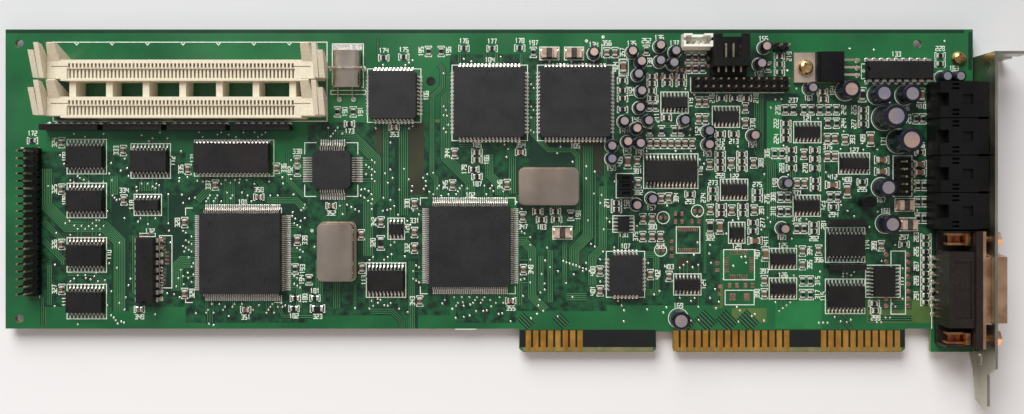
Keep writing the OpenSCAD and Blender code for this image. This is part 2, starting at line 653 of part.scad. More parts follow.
// A gull-wing lead that leaves the body at height h and lands on a flat foot
module gull_lead(reach, h, w, t) {
    knee = reach * 0.3;
    foot = reach * 0.5;
    translate([0, w / 2, 0]) rotate([90, 0, 0]) linear_extrude(w) polygon([
        [0, h - t / 2], [knee, h - t / 2], [foot, 0], [reach, 0],
        [foot + t * 0.8, t * 1.2], [knee + t * 0.8, h + t / 2], [0, h + t / 2]]);
}

// A J lead that runs down the body's side and curls under it
module j_lead(h, w, t) {
    translate([0, w / 2, 0]) rotate([90, 0, 0]) linear_extrude(w) polygon([
        [0, h - t], [0.25, 0.35], [-0.5, 0.15], [0.25, 0], [0.25 + t, h - 0.1], [0, h]]);
}

// Leads along the two long sides of a chip, or along all four sides of a square one
module two_sides(count, step, w) {
    for (s = [0, 180], i = [0:count - 1])
        rotate(s) translate([(i - (count - 1) / 2) * step, w / 2, 0]) rotate(90) children();
}

module four_sides(count_x, count_y, step, l, w) {
    two_sides(count_x, step, w) children();
    rotate(90) two_sides(count_y, step, l) children();
}

// Fine-pitch square chips with gull-wing leads on all four sides
module synth_chip_body() {
    color([0.2, 0.2, 0.2]) at(synth_place) chip_body(28, 28, quad_h, 1, 0.3, quad_marks, 2.2);
}

module bus_chip_body() {
    color([0.2, 0.2, 0.2]) at(bus_place) chip_body(28, 28, quad_h, 1, 0.3, quad_marks, 2.2);
}

module quad_leads() {
    four_sides(40, 40, 0.65, 28, 28) gull_lead(1.95, 1.95, 0.3, 0.16);
}

module synth_chip_leads() {
    color([0.75, 0.74, 0.72]) at(synth_place) quad_leads();
}

module bus_chip_leads() {
    color([0.75, 0.74, 0.72]) at(bus_place) quad_leads();
}

module converter_chip_body() {
    color([0.2, 0.2, 0.2]) at(converter_place) chip_body(13.6, 13.6, 2.4, 1.8, 0.2, [[4.6, 4.6]], 1.4);
}

module converter_chip_leads() {
    color([0.75, 0.74, 0.72]) at(converter_place)
        four_sides(11, 11, 0.8, 13.6, 13.6) gull_lead(2.9, 1.3, 0.34, 0.17);
}

// J-leaded chips
module plcc_68_body(p) {
    color([0.19, 0.19, 0.19]) at(p) chip_body(24.2, 24.2, plcc_h, 1.2, plcc_lift, [[0, 9.8]], 1.6);
}

module plcc_44_body() {
    color([0.19, 0.19, 0.19]) at(plcc_44_place) chip_body(16.6, 16.6, plcc_h, 1.2, plcc_lift, [[-6, 6]], 1.6);
}

module plcc_32_body() {
    color([0.19, 0.19, 0.19]) at(plcc_32_place) chip_body(11.4, 14, 3.5, 1, plcc_lift, [[0, 5.4]], 1.2);
}

module plcc_leads() {
    color([0.78, 0.77, 0.75]) {
        at_each(plcc_68_places) four_sides(17, 17, 1.27, 24.2, 24.2) j_lead(2.6, 0.6, 0.2);
        at(plcc_44_place) four_sides(11, 11, 1.27, 16.6, 16.6) j_lead(2.6, 0.6, 0.2);
        at(plcc_32_place) four_sides(7, 9, 1.27, 11.4, 14) j_lead(2.1, 0.6, 0.2);
    }
}

module wide_chip_bodies() {
    color([0.2, 0.2, 0.2]) {
        at_each(wide_20_places) chip_body(12.8, 7.5, 2.4, marks = [[-5.2, -2.4], [0, 0], [5, 2.4]]);
        at_each(wide_28_places) chip_body(17.9, 7.5, 2.4, marks = [[-7.6, -2.4], [7.6, 0]]);
        at_each(wide_16_places) chip_body(10.3, 7.5, 2.4, marks = [[-4, -2.4], [4, 0]]);
    }
}

module wide_chip_leads() {
    color([0.75, 0.74, 0.72]) {
        at_each(wide_20_places) two_sides(10, 1.27, 7.5) gull_lead(1.4, 1.25, 0.42, 0.22);
        at_each(wide_28_places) two_sides(14, 1.27, 7.5) gull_lead(1.4, 1.25, 0.42, 0.22);
        at_each(wide_16_places) two_sides(8, 1.27, 7.5) gull_lead(1.4, 1.25, 0.42, 0.22);
    }
}

module narrow_chip_bodies() {
    color([0.2, 0.2, 0.2]) {
        at_each(narrow_14_places) chip_body(8.65, 3.9, 1.6, marks = [[-3.5, -1.1]], mark_d = 0.8);
        at_each(narrow_16_places) chip_body(9.9, 3.9, 1.6, marks = [[-4.1, -1.1]], mark_d = 0.8);
        at_each(narrow_8_places) chip_body(4.9, 3.9, 1.6, marks = [[-1.7, -1.1]], mark_d = 0.8);
    }
}

module narrow_chip_leads() {
    color([0.75, 0.74, 0.72]) {
        at_each(narrow_14_places) two_sides(7, 1.27, 3.9) gull_lead(1.05, 0.85, 0.42, 0.2);
        at_each(narrow_16_places) two_sides(8, 1.27, 3.9) gull_lead(1.05, 0.85, 0.42, 0.2);
        at_each(narrow_8_places) two_sides(4, 1.27, 3.9) gull_lead(1.05, 0.85, 0.42, 0.2);
    }
}

module memory_chip_body() {
    color([0.2, 0.2, 0.2]) at(memory_chip_place) chip_body(26, 10.2, 3.6, 0.2, 0.6, [[-11.6, -3.4], [11.6, 0]], 1.6);
}

module memory_chip_leads() {
    color([0.75, 0.74, 0.72]) at(memory_chip_place) two_sides(20, 1.27, 10.2) j_lead(2.2, 0.5, 0.2);
}

// Dual in-line chips: notched bodies on stepped pins
module dip_chip_bodies() {
    color([0.19, 0.19, 0.19]) at_each(dip_places) difference() {
        chip_body(22.6, 6.4, 4.4, 0.1, 0.7);
        translate([-11.4, 0, 3.4]) cylinder(d = 2.2, h = 2);
    }
}

module dip_chip_leads() {
    color([0.75, 0.74, 0.72]) at_each(dip_places) two_sides(9, pitch, 6.4) {
        translate([0, -0.75, 2.4]) cube([0.75, 1.5, 0.25]);
        translate([0.5, -0.75, 0.8]) cube([0.25, 1.5, 1.6]);
        translate([0.5, -0.25, tail_z - top_z]) cube([0.25, 0.5, top_z - tail_z + 0.8]);
    }
}

// Clock oscillators: a drawn can over a flanged base with four pins
module rounded_slab(l, w, r, h) {
    linear_extrude(h) {
        square([l - 2 * r, w], center = true);
        square([l, w - 2 * r], center = true);
        for (x = [-1, 1], y = [-1, 1]) translate([x * (l / 2 - r), y * (w / 2 - r)]) circle(r = r);
    }
}

module oscillator_cans() {
    color([0.78, 0.74, 0.68]) at_each(oscillator_places, top_z + 0.9) {
        rounded_slab(19.6, 12, 1.8, 4.2);
        translate([0, 0, 4.2]) rounded_slab(18.8, 11.2, 1.4, 0.3);
    }
}

module oscillator_bases() {
    color([0.7, 0.68, 0.62]) at_each(oscillator_places) {
        translate([0, 0, 0.3]) rounded_slab(20.6, 13, 2, 0.6);
        for (x = [-1, 1], y = [-1, 1])
            translate([x * 7.62, y * 3.81, tail_z - top_z]) cylinder(d = 0.5, h = top_z - tail_z + 0.3);
    }
}

// An outline with half-round ends
module stadium(l, w) {
    square([l, w], center = true);
    for (s = [-1, 1]) translate([s * l / 2, 0]) circle(d = w);
}

// The crystal lies on its side, held by a wire strap
module crystal_can() {
    color([0.76, 0.73, 0.7]) {
        at([117.9, 13.6], top_z + 2) {
            translate([0, 6, 0]) rotate([90, 0, 0]) linear_extrude(12) stadium(5.7, 3.6);
            translate([0, -6, 0]) rotate([90, 0, 0]) linear_extrude(0.6) stadium(6.4, 3.9);
        }
        at_each(crystal_pins, tail_z) cylinder(d = 0.45, h = top_z + 2.2 - tail_z);
        for (p = crystal_pins) at([p[0], p[1]], top_z + 2)
            rotate([-90, 0, 0]) cylinder(d = 0.45, h = 3.9);
    }
}

module crystal_strap() {
    color([0.82, 0.8, 0.77]) {
        at_each(strap_pins, tail_z) block(0.6, 0.6, top_z + 4.9 - tail_z);
        at([117.9, 13.6], top_z + 4.3) block(11.6, 0.6, 0.6);
    }
}

// Electrolytic capacitors: an aluminium can whose top shows through a shrink sleeve
module can(d, h) {
    difference() {
        rotate_extrude() polygon([
            [0, 0.4], [d / 2 - 0.2, 0.4], [d / 2 - 0.2, h - 0.5], [d / 2 - 0.5, h - 0.1], [0, h - 0.1]]);
        if (d > 5) translate([0, 0, h - 0.25]) for (a = [0, 90]) rotate(a) block(d * 0.55, 0.25, 1);
    }
    for (s = [-1, 1]) translate([s * d / 4, 0, tail_z - top_z]) cylinder(d = 0.5, h = top_z - tail_z + 0.4);
}

module sleeve(d, h) {
    rotate_extrude() polygon([
        [d / 2 - 0.2, 0.2], [d / 2, 0.4], [d / 2, h - 0.5], [d / 2 - 0.4, h], [d * 0.335, h],
        [d * 0.335, h - 0.1], [d / 2 - 0.5, h - 0.1], [d / 2 - 0.2, h - 0.5]]);
}

module capacitor_cans() {
    color([0.8, 0.76, 0.74]) {
        at_each(small_can_places) can(4, 5.4);
        at_each(medium_can_places) can(6.3, 7);
        at_each(large_can_places) can(8, 11.5);
    }
}

module capacitor_sleeves() {
    color([0.1, 0.1, 0.18]) {
        at_each(small_can_places) sleeve(4, 5.4);
        at_each(medium_can_places) sleeve(6.3, 7);
        at_each(large_can_places) sleeve(8, 11.5);
    }
}

// The voltage regulator lies on its back with its tab screwed to the board
module regulator_body() {
    color([0.1, 0.1, 0.1]) at([282.8, regulator_y], top_z + 1.3) difference() {
        block(9, 10.2, 3.2);
        translate([-4.6, -6, 2.4]) cube([1.2, 12, 1]);
    }
}

module regulator_frame() {
    color([0.78, 0.76, 0.72]) {
        at([279.2, regulator_y]) difference() {
            block(16.2, 10.2, 1.3);
            translate([-4.4, 0, -1]) cylinder(d = 3.4, h = 4);
        }
        for (p = regulator_pins) at(p) {
            translate([-5.7, -0.4, 1.8]) cube([6.1, 0.8, 0.5]);
            translate([-0.1, -0.4, tail_z - top_z]) cube([0.5, 0.8, top_z - tail_z + 1.8]);
        }
    }
}

// Wound chip inductors with broad end caps
module inductors() {
    color([0.3, 0.26, 0.22])
    at_each([[187.2, 8.3, 0], [195.7, 8.3, 0], [191.7, 70, 0], [309.5, 60.4, 0], [310.6, 67.1, 0]]) {
        block(2.6, 3, 2);
        for (s = [-1, 1]) translate([s * 1.9, 0, 0]) block(1.2, 3.2, 2.4);
    }
}

// Small transistor with a flat front, on three legs
module transistor() {
    color([0.09, 0.09, 0.09]) at([295.6, 59.7]) {
        translate([0, 0, 0.8]) intersection() {
            cylinder(d = 4.8, h = 4.6);
            translate([0, 0.8, 0]) block(6, 4, 6);
        }
        for (i = [-1:1]) translate([i * 1.3, 0, tail_z - top_z]) cylinder(d = 0.45, h = top_z - tail_z + 0.8);
    }
}

// Chip resistors: the dark coat on top of the plated slab
module chip_resistors() {
    color([0.1, 0.1, 0.1]) {
        at_each(resistor_places, top_z + 0.42) block(1.2, 1.25, 0.12);
        at_each(large_resistor_places, top_z + 0.5) block(2.2, 1.6, 0.12);
    }
}

// Chip capacitors: the ceramic between the two plated ends
module chip_capacitors() {
    color([0.55, 0.42, 0.32]) {
        at_each(capacitor_places) block(1.2, 1.25, 0.8);
        at_each(large_capacitor_places) block(2.2, 1.6, 1);
    }
}

module chip_terminals() {
    color([0.85, 0.84, 0.82]) {
        at_each(resistor_places) block(2, 1.25, 0.42);
        at_each(large_resistor_places) block(3.2, 1.6, 0.5);
        at_each(capacitor_places) for (s = [-0.8, 0.8]) translate([s, 0, 0]) block(0.4, 1.3, 0.85);
        at_each(large_capacitor_places) for (s = [-1.35, 1.35]) translate([s, 0, 0]) block(0.5, 1.65, 1.05);
    }
}

circuit_board();
edge_contacts();
bracket();
board_screws();
audio_jack(0);  // audio_jack_1
audio_jack(1);  // audio_jack_2
audio_jack(2);  // audio_jack_3
audio_jack(3);  // audio_jack_4
audio_jack_contacts();
game_port_housing();
game_port_shell();
game_port_insert();
game_port_pins();
game_port_boardlocks();
game_port_jackscrews();
memory_socket_housing();
memory_socket_contacts();
resistor_networks();
resistor_network_pins();
ribbon_header_base();
ribbon_header_pins();
expansion_header_base();
jumper_bases();
header_pins();
jumper_shunts();
cd_socket();
aux_socket();
audio_socket_pins();
synth_chip_body();
synth_chip_leads();
bus_chip_body();
bus_chip_leads();
converter_chip_body();
converter_chip_leads();
plcc_68_body(plcc_68_places[0]);  // plcc_68_body_1
plcc_68_body(plcc_68_places[1]);  // plcc_68_body_2
plcc_44_body();
plcc_32_body();
plcc_leads();
wide_chip_bodies();
wide_chip_leads();
narrow_chip_bodies();
narrow_chip_leads();
memory_chip_body();
memory_chip_leads();
dip_chip_bodies();
dip_chip_leads();
oscillator_cans();
oscillator_bases();
crystal_can();
crystal_strap();
capacitor_cans();
capacitor_sleeves();
regulator_body();
regulator_frame();
inductors();
transistor();
chip_resistors();
chip_capacitors();
chip_terminals();
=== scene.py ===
"""Looks of a full-length ISA sound card: finishes, copper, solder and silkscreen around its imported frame."""
import math
import random

import bmesh
import bpy
import numpy as np
from mathutils import Matrix, Vector


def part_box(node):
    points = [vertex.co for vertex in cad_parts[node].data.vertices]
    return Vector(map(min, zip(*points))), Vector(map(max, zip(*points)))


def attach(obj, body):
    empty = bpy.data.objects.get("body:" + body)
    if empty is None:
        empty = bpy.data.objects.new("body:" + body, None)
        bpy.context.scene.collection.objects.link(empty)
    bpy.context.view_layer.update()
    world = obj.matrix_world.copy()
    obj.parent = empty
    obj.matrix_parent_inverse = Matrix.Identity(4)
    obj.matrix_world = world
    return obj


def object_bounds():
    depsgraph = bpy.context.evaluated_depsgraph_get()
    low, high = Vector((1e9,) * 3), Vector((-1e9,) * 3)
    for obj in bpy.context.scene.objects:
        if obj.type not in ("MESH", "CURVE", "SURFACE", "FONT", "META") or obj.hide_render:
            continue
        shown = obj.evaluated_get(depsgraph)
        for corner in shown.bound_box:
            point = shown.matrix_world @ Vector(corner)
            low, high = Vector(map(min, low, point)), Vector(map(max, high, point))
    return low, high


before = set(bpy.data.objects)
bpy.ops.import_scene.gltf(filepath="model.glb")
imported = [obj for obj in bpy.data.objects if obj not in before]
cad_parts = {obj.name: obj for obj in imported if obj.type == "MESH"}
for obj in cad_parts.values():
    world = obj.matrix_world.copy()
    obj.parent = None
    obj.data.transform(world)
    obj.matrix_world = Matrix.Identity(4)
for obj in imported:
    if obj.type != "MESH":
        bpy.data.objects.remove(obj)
cad_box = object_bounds()
MM = 0.001
rng = random.Random(31)

# The board's upper left corner, its underside and its length, from the frame
board_low, board_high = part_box("circuit_board")
CORNER = Vector((board_low[0], board_high[1], board_high[2]))
UNDER_Z = board_low[2]
BOARD_L = (board_high[0] - board_low[0]) / MM

# Heights above the board's upper face, in millimetres
COPPER = 0.02
INK = 0.035
PAD = 0.05


def place(x, y, h=0.0):
    """A point of the frame from board millimetres: x right, y down and h up from the board's corner."""
    return CORNER + Vector((x, -y, h)) * MM


def board_place(point):
    """The board millimetres of a point of the frame."""
    offset = (Vector(point) - CORNER) / MM
    return offset.x, -offset.y


# Finishes

GRAIN_DEPTH = 0.00005
# The part of noise that is spread over a whole run, because noise keeps near its middle
NOISE_LOW, NOISE_HIGH = 0.35, 0.65
MASK_COAT = {"coat_weight": 0.2, "coat_roughness": 0.2}


def finish(name, colour, rough, metallic=0.0, **sockets):
    """A new material and its nodes, with a colour as seen on screen and other sockets by name."""
    material = bpy.data.materials.new(name)
    material.use_nodes = True
    nodes, links = material.node_tree.nodes, material.node_tree.links
    shader = nodes["Principled BSDF"]
    shader.inputs["Base Color"].default_value = screen(colour)
    shader.inputs["Roughness"].default_value = rough
    shader.inputs["Metallic"].default_value = metallic
    for socket, value in sockets.items():
        shader.inputs[socket.replace("_", " ").title().replace("Ior", "IOR")].default_value = value
    return material, nodes, links, shader


def screen(colour):
    """A colour of 0 to 255 as seen on screen, in the renderer's linear values."""
    shares = (c / 255 for c in colour)
    return tuple(c / 12.92 if c < 0.0404 else ((c + 0.055) / 1.055) ** 2.4 for c in shares) + (1.0,)


def object_noise(nodes, links, scale, detail=3.0, stretch=(1, 1, 1)):
    """Noise on object coordinates, with its scale in features per metre."""
    where = nodes.new("ShaderNodeTexCoord")
    mapping = nodes.new("ShaderNodeMapping")
    noise = nodes.new("ShaderNodeTexNoise")
    mapping.inputs["Scale"].default_value = stretch
    noise.inputs["Scale"].default_value = scale
    noise.inputs["Detail"].default_value = detail
    links.new(where.outputs["Object"], mapping.inputs["Vector"])
    links.new(mapping.outputs["Vector"], noise.inputs["Vector"])
    return noise.outputs["Fac"]


def blend_colours(nodes, links, factor, low, high, start=NOISE_LOW, end=NOISE_HIGH):
    """A colour that runs from low to high as the factor goes from start to end."""
    ramp = nodes.new("ShaderNodeValToRGB")
    ramp.color_ramp.elements[0].position = start
    ramp.color_ramp.elements[1].position = end
    ramp.color_ramp.elements[0].color = screen(low)
    ramp.color_ramp.elements[1].color = screen(high)
    links.new(factor, ramp.inputs["Fac"])
    return ramp.outputs["Color"]


def vary(parts, scale, low, high, stretch=(1, 1, 1)):
    """Colours the material between two tones, in patches."""
    _, nodes, links, shader = parts
    noise = object_noise(nodes, links, scale, 4.0, stretch)
    links.new(blend_colours(nodes, links, noise, low, high), shader.inputs["Base Color"])
    return parts


def grain(parts, scale, strength, stretch=(1, 1, 1)):
    """Roughens the surface with fine bumps."""
    _, nodes, links, shader = parts
    bump = nodes.new("ShaderNodeBump")
    bump.inputs["Strength"].default_value = strength
    bump.inputs["Distance"].default_value = GRAIN_DEPTH
    links.new(object_noise(nodes, links, scale, 2.0, stretch), bump.inputs["Height"])
    links.new(bump.outputs["Normal"], shader.inputs["Normal"])
    return parts


def smudge(parts, scale, low, high):
    """Lets the roughness drift between two values, as handled surfaces do."""
    _, nodes, links, shader = parts
    spread = nodes.new("ShaderNodeMapRange")
    spread.inputs["From Min"].default_value = NOISE_LOW
    spread.inputs["From Max"].default_value = NOISE_HIGH
    spread.inputs["To Min"].default_value = low
    spread.inputs["To Max"].default_value = high
    links.new(object_noise(nodes, links, scale), spread.inputs["Value"])
    links.new(spread.outputs["Result"], shader.inputs["Roughness"])
    return parts


def moulding(name, dark, light, rough, **sockets):
    """Moulded plastic: two close tones, a fine grain and uneven gloss."""
    parts = finish(name, dark, rough, **sockets)
    vary(parts, 1400, dark, light)
    grain(parts, 9000, 0.18)
    return smudge(parts, 120, rough - 0.08, rough + 0.08)[0]


def metal(name, dark, light, rough, scale, stretch=(1, 1, 1), metallic=1.0):
    """Bare or plated metal: two close tones and uneven gloss."""
    parts = finish(name, dark, rough, metallic)
    vary(parts, scale, dark, light, stretch=stretch)
    grain(parts, 3000, 0.12, stretch=stretch)
    return smudge(parts, scale, rough - 0.07, rough + 0.1)[0]


def board_finish():
    """Green solder mask on both faces, and cut glass laminate on the edges."""
    parts = finish("solder_mask_over_copper", (24, 100, 54), 0.4, **MASK_COAT)
    _, nodes, links, shader = parts
    clouds = object_noise(nodes, links, 45, 5.0)
    weave = object_noise(nodes, links, 900, 2.0, (1, 1, 6))
    mask = blend_colours(nodes, links, clouds, (14, 78, 42), (26, 106, 56), 0.3, 0.7)
    edge = blend_colours(nodes, links, weave, (96, 104, 62), (134, 136, 84))
    normal = nodes.new("ShaderNodeNewGeometry")
    split = nodes.new("ShaderNodeSeparateXYZ")
    flat = nodes.new("ShaderNodeMath")
    flat.operation = "ABSOLUTE"
    mix = nodes.new("ShaderNodeMix")
    mix.data_type = "RGBA"
    links.new(normal.outputs["True Normal"], split.inputs["Vector"])
    links.new(split.outputs["Z"], flat.inputs[0])
    links.new(flat.outputs["Value"], mix.inputs["Factor"])
    links.new(edge, mix.inputs["A"])
    links.new(mask, mix.inputs["B"])
    links.new(mix.outputs["Result"], shader.inputs["Base Color"])
    smudge(parts, 40, 0.26, 0.42)
    return grain(parts, 2600, 0.1)[0]


def ink_finish():
    """White ink, a little uneven and chalky."""
    parts = vary(finish("screened_ink", (222, 232, 218), 0.6), 700, (206, 220, 202), (234, 240, 228))
    return grain(parts, 4000, 0.2)[0]


def mask_finish(name, low, high, rough=0.34, scale=90):
    """Solder mask in the tone that it takes over what lies under it."""
    parts = finish(name, low, rough, **MASK_COAT)
    return vary(parts, scale, low, high)[0]


MASK_OVER_COPPER = board_finish()
# This dark mask colours the trace gaps and also one painted shadow patch in AREAS.
MASK_OVER_LAMINATE_AND_SHADOW = mask_finish("solder_mask_over_laminate_and_painted_shadow", (8, 40, 26), (14, 52, 34))
MASK_OVER_TRACE = mask_finish("solder_mask_over_trace", (42, 106, 60), (66, 124, 76), 0.36)
MASK_OVER_POUR = mask_finish("solder_mask_over_pour", (22, 102, 54), (34, 118, 64))
MASK_OVER_BROWN = mask_finish("solder_mask_over_inner_copper", (40, 46, 30), (54, 58, 36))
MASK_OVER_DENSE = mask_finish("solder_mask_over_fine_traces", (6, 32, 20), (22, 84, 48), 0.36, 420)
MASK_OVER_DARK = mask_finish("solder_mask_on_tabs", (8, 12, 10), (16, 20, 16))
BARE_LAMINATE = mask_finish("bare_laminate", (104, 104, 66), (126, 122, 80), 0.5, 400)
MASK_OVER_OLIVE = mask_finish("solder_mask_over_olive", (62, 92, 44), (86, 112, 56))
INK_WHITE = ink_finish()
SOLDER = metal("solder", (220, 216, 208), (240, 236, 230), 0.26, 900, metallic=0.6)
GOLD = metal("gold_plating", (232, 158, 62), (252, 196, 98), 0.3, 260, (1, 0.1, 1))
CHIP_PLASTIC = moulding("chip_moulding", (19, 19, 21), (27, 27, 29), 0.5)
DARK_CHIP = moulding("dark_chip_moulding", (13, 12, 12), (22, 20, 19), 0.5, specular_ior_level=0.4)
BLACK_PLASTIC = moulding("black_moulding", (7, 7, 7), (13, 12, 12), 0.46, specular_ior_level=0.25)
PORT_PLASTIC = moulding("port_moulding", (20, 14, 12), (34, 25, 21), 0.4)
NETWORK_COAT = moulding("network_coating", (16, 13, 12), (28, 23, 20), 0.35)
CREAM_PLASTIC = moulding("cream_moulding", (212, 203, 180), (226, 218, 196), 0.46)
WHITE_PLASTIC = moulding("white_moulding", (226, 226, 214), (240, 240, 232), 0.4)
LEAD_TIN = metal("tinned_leads", (206, 192, 182), (232, 222, 214), 0.26, 700, metallic=0.85)
PIN_GOLD = metal("plated_pins", (190, 174, 144), (220, 206, 178), 0.25, 700)
SHELL_TIN = metal("plated_shell", (216, 166, 128), (238, 196, 160), 0.3, 200)
STEEL = metal("bracket_steel", (158, 156, 140), (186, 184, 168), 0.34, 120, (1, 0.2, 1))
BRASS = metal("screw_brass", (196, 160, 104), (226, 196, 140), 0.3, 400)
BRASS_CLIP = metal("clip_brass", (188, 132, 88), (216, 164, 116), 0.32, 400)
DRAWN_CAN = metal("drawn_can", (196, 174, 156), (216, 200, 184), 0.26, 60, (1, 0.4, 1))
# Capacitor tops: the cool bluish and warm pinkish tones that change from can to can are painted reflections.
ALUMINIUM_WITH_PAINTED_REFLECTIONS = metal("can_aluminium", (204, 204, 222), (236, 202, 184), 0.34, 85)
SLEEVE = moulding("shrink_sleeve", (12, 13, 24), (22, 23, 38), 0.3)
RESISTOR_COAT = moulding("resistor_coating", (14, 12, 12), (26, 22, 20), 0.35)
CAPACITOR_TAN = moulding("capacitor_ceramic", (96, 70, 52), (120, 92, 70), 0.45)
CHIP_ENDS = metal("chip_ends", (224, 216, 208), (244, 238, 232), 0.26, 900, metallic=0.6)
BARE_PAD = metal("bare_pads", (168, 120, 108), (196, 150, 138), 0.4, 900)
REGULATOR_TAB = metal("regulator_tab", (206, 184, 164), (222, 202, 184), 0.42, 60)
INDUCTOR_END = metal("inductor_ends", (206, 176, 156), (232, 208, 190), 0.32, 700, metallic=0.7)
INDUCTOR_BODY = moulding("inductor_body", (52, 46, 42), (74, 66, 60), 0.4)

NODE_FINISHES = {
    "circuit_board": MASK_OVER_COPPER, "edge_contacts": GOLD, "bracket": STEEL, "board_screws": BRASS,
    "audio_jack_contacts": LEAD_TIN, "game_port_shell": SHELL_TIN, "game_port_pins": PIN_GOLD,
    "game_port_boardlocks": BRASS_CLIP, "game_port_jackscrews": SHELL_TIN,
    "memory_socket_housing": CREAM_PLASTIC, "memory_socket_contacts": PIN_GOLD,
    "wide_chip_bodies": DARK_CHIP, "narrow_chip_bodies": DARK_CHIP, "memory_chip_body": DARK_CHIP,
    "dip_chip_bodies": DARK_CHIP, "game_port_housing": PORT_PLASTIC, "resistor_networks": NETWORK_COAT,
    "cd_socket": WHITE_PLASTIC,
    "ribbon_header_pins": PIN_GOLD, "header_pins": PIN_GOLD, "audio_socket_pins": PIN_GOLD,
    "oscillator_cans": DRAWN_CAN, "oscillator_bases": DRAWN_CAN, "crystal_can": DRAWN_CAN,
    "crystal_strap": LEAD_TIN, "capacitor_cans": ALUMINIUM_WITH_PAINTED_REFLECTIONS, "capacitor_sleeves": SLEEVE,
    "regulator_frame": REGULATOR_TAB, "inductors": INDUCTOR_BODY,
    "chip_resistors": RESISTOR_COAT, "chip_capacitors": CAPACITOR_TAN, "chip_terminals": CHIP_ENDS,
}


def dress_nodes():
    """Gives every CAD node its finish: by name, or by the kind of piece that its name ends in."""
    for name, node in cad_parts.items():
        material = NODE_FINISHES.get(name)
        if material is None and name.endswith(("_leads", "_pins")):
            material = LEAD_TIN
        if material is None and ("chip" in name or "plcc" in name):
            material = CHIP_PLASTIC
        node.data.materials.clear()
        node.data.materials.append(material or BLACK_PLASTIC)


# Shapes

def add_piece(name, shape, material, smooth=False, flat=False):
    """Turns a finished bmesh into a piece of the card. A flat one faces up."""
    bmesh.ops.recalc_face_normals(shape, faces=shape.faces)
    if flat:
        shape.normal_update()
        bmesh.ops.reverse_faces(shape, faces=[face for face in shape.faces if face.normal.z < 0])
    mesh = bpy.data.meshes.new(name)
    shape.to_mesh(mesh)
    shape.free()
    if smooth:
        mesh.shade_smooth()
    mesh.materials.append(material)
    piece = bpy.data.objects.new(name, mesh)
    bpy.context.scene.collection.objects.link(piece)
    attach(piece, "root")


def box_at(shape, x, y, length, width, height):
    """A box that stands on the board, centred at a place."""
    centre = Matrix.Translation(place(x, y, height / 2))
    size = Matrix.Diagonal((length * MM, width * MM, height * MM, 1))
    bmesh.ops.create_cube(shape, size=1, matrix=centre @ size)


def mound_at(shape, x, y, length, width, height, slope):
    """A four-sided mound, as solder takes on a pad. The slope is the share that its top has of its foot."""
    centre = Matrix.Translation(place(x, y, height / 2))
    size = Matrix.Diagonal((length * MM, width * MM, height * MM, 1)) @ Matrix.Rotation(math.pi / 4, 4, "Z")
    corner = math.sqrt(0.5)
    bmesh.ops.create_cone(
        shape, cap_ends=True, segments=4, radius1=corner, radius2=corner * slope, depth=1,
        matrix=centre @ size)


def dot_at(shape, x, y, radius, height, slope, sides=8):
    """A low round dot, such as a via. The slope is the share that its top has of its foot."""
    centre = Matrix.Translation(place(x, y, height / 2))
    bmesh.ops.create_cone(
        shape, cap_ends=True, segments=sides, radius1=radius * MM, radius2=radius * slope * MM,
        depth=height * MM, matrix=centre)


def mitres(points, half):
    """The offset from each point of a line to the line's edge, square to it or along the corner's mitre."""
    offsets = []
    for i, point in enumerate(points):
        before = (point - points[i - 1]).normalized() if i else None
        after = (points[i + 1] - point).normalized() if i < len(points) - 1 else None
        along = ((before or after) + (after or before)).normalized()
        normal = Vector((-along.y, along.x))
        reach = (before or after).dot(along)
        offsets.append(normal * half / max(reach, 0.4))
    return offsets


def ribbon(shape, points, width, lift, closed=False):
    """A flat strip along a line of board places, made by extruding its first edge."""
    line = [Vector(p) for p in points]
    if closed:
        line.append(line[0])
    offsets = mitres(line, width / 2)
    if closed:
        ends = mitres([line[-2], line[0], line[1]], width / 2)[1]
        offsets[0] = offsets[-1] = ends
    pair = [shape.verts.new(place(*(line[0] + side * offsets[0]), lift)) for side in (1, -1)]
    edge = shape.edges.new(pair)
    for point, offset in zip(line[1:], offsets[1:]):
        grown = bmesh.ops.extrude_edge_only(shape, edges=[edge])["geom"]
        edge = next(part for part in grown if isinstance(part, bmesh.types.BMEdge))
        new_pair = sorted(edge.verts, key=lambda v: (v.co - pair[0].co).length)
        for vert, side in zip(new_pair, (1, -1)):
            vert.co = place(*(point + side * offset), lift)
        pair = new_pair


def ring_at(shape, x, y, radius, width, lift):
    """A flat ring, such as a screened circle."""
    sides = 24
    turns = [2 * math.pi * i / sides for i in range(sides)]
    circle = [(x + radius * math.cos(turn), y + radius * math.sin(turn)) for turn in turns]
    ribbon(shape, circle, width, lift, closed=True)


WELD = 0.001 * MM


def islands(node):
    """The separate solids of a CAD node, as lists of points."""
    shape = bmesh.new()
    shape.from_mesh(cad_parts[node].data)
    bmesh.ops.remove_doubles(shape, verts=shape.verts, dist=WELD)
    found, seen = [], set()
    for start in shape.verts:
        if start in seen:
            continue
        seen.add(start)
        group, queue = [], [start]
        while queue:
            vert = queue.pop()
            group.append(vert.co.copy())
            for edge in vert.link_edges:
                other = edge.other_vert(vert)
                if other not in seen:
                    seen.add(other)
                    queue.append(other)
        found.append(group)
    shape.free()
    return found


def footprint(points, below=None):
    """The rectangle that points cover, as its middle's x and y, its length and its width on the board."""
    spots = [board_place(p) for p in points if below is None or p.z < below]
    left, right = min(s[0] for s in spots), max(s[0] for s in spots)
    top, bottom = min(s[1] for s in spots), max(s[1] for s in spots)
    return (left + right) / 2, (top + bottom) / 2, right - left, bottom - top


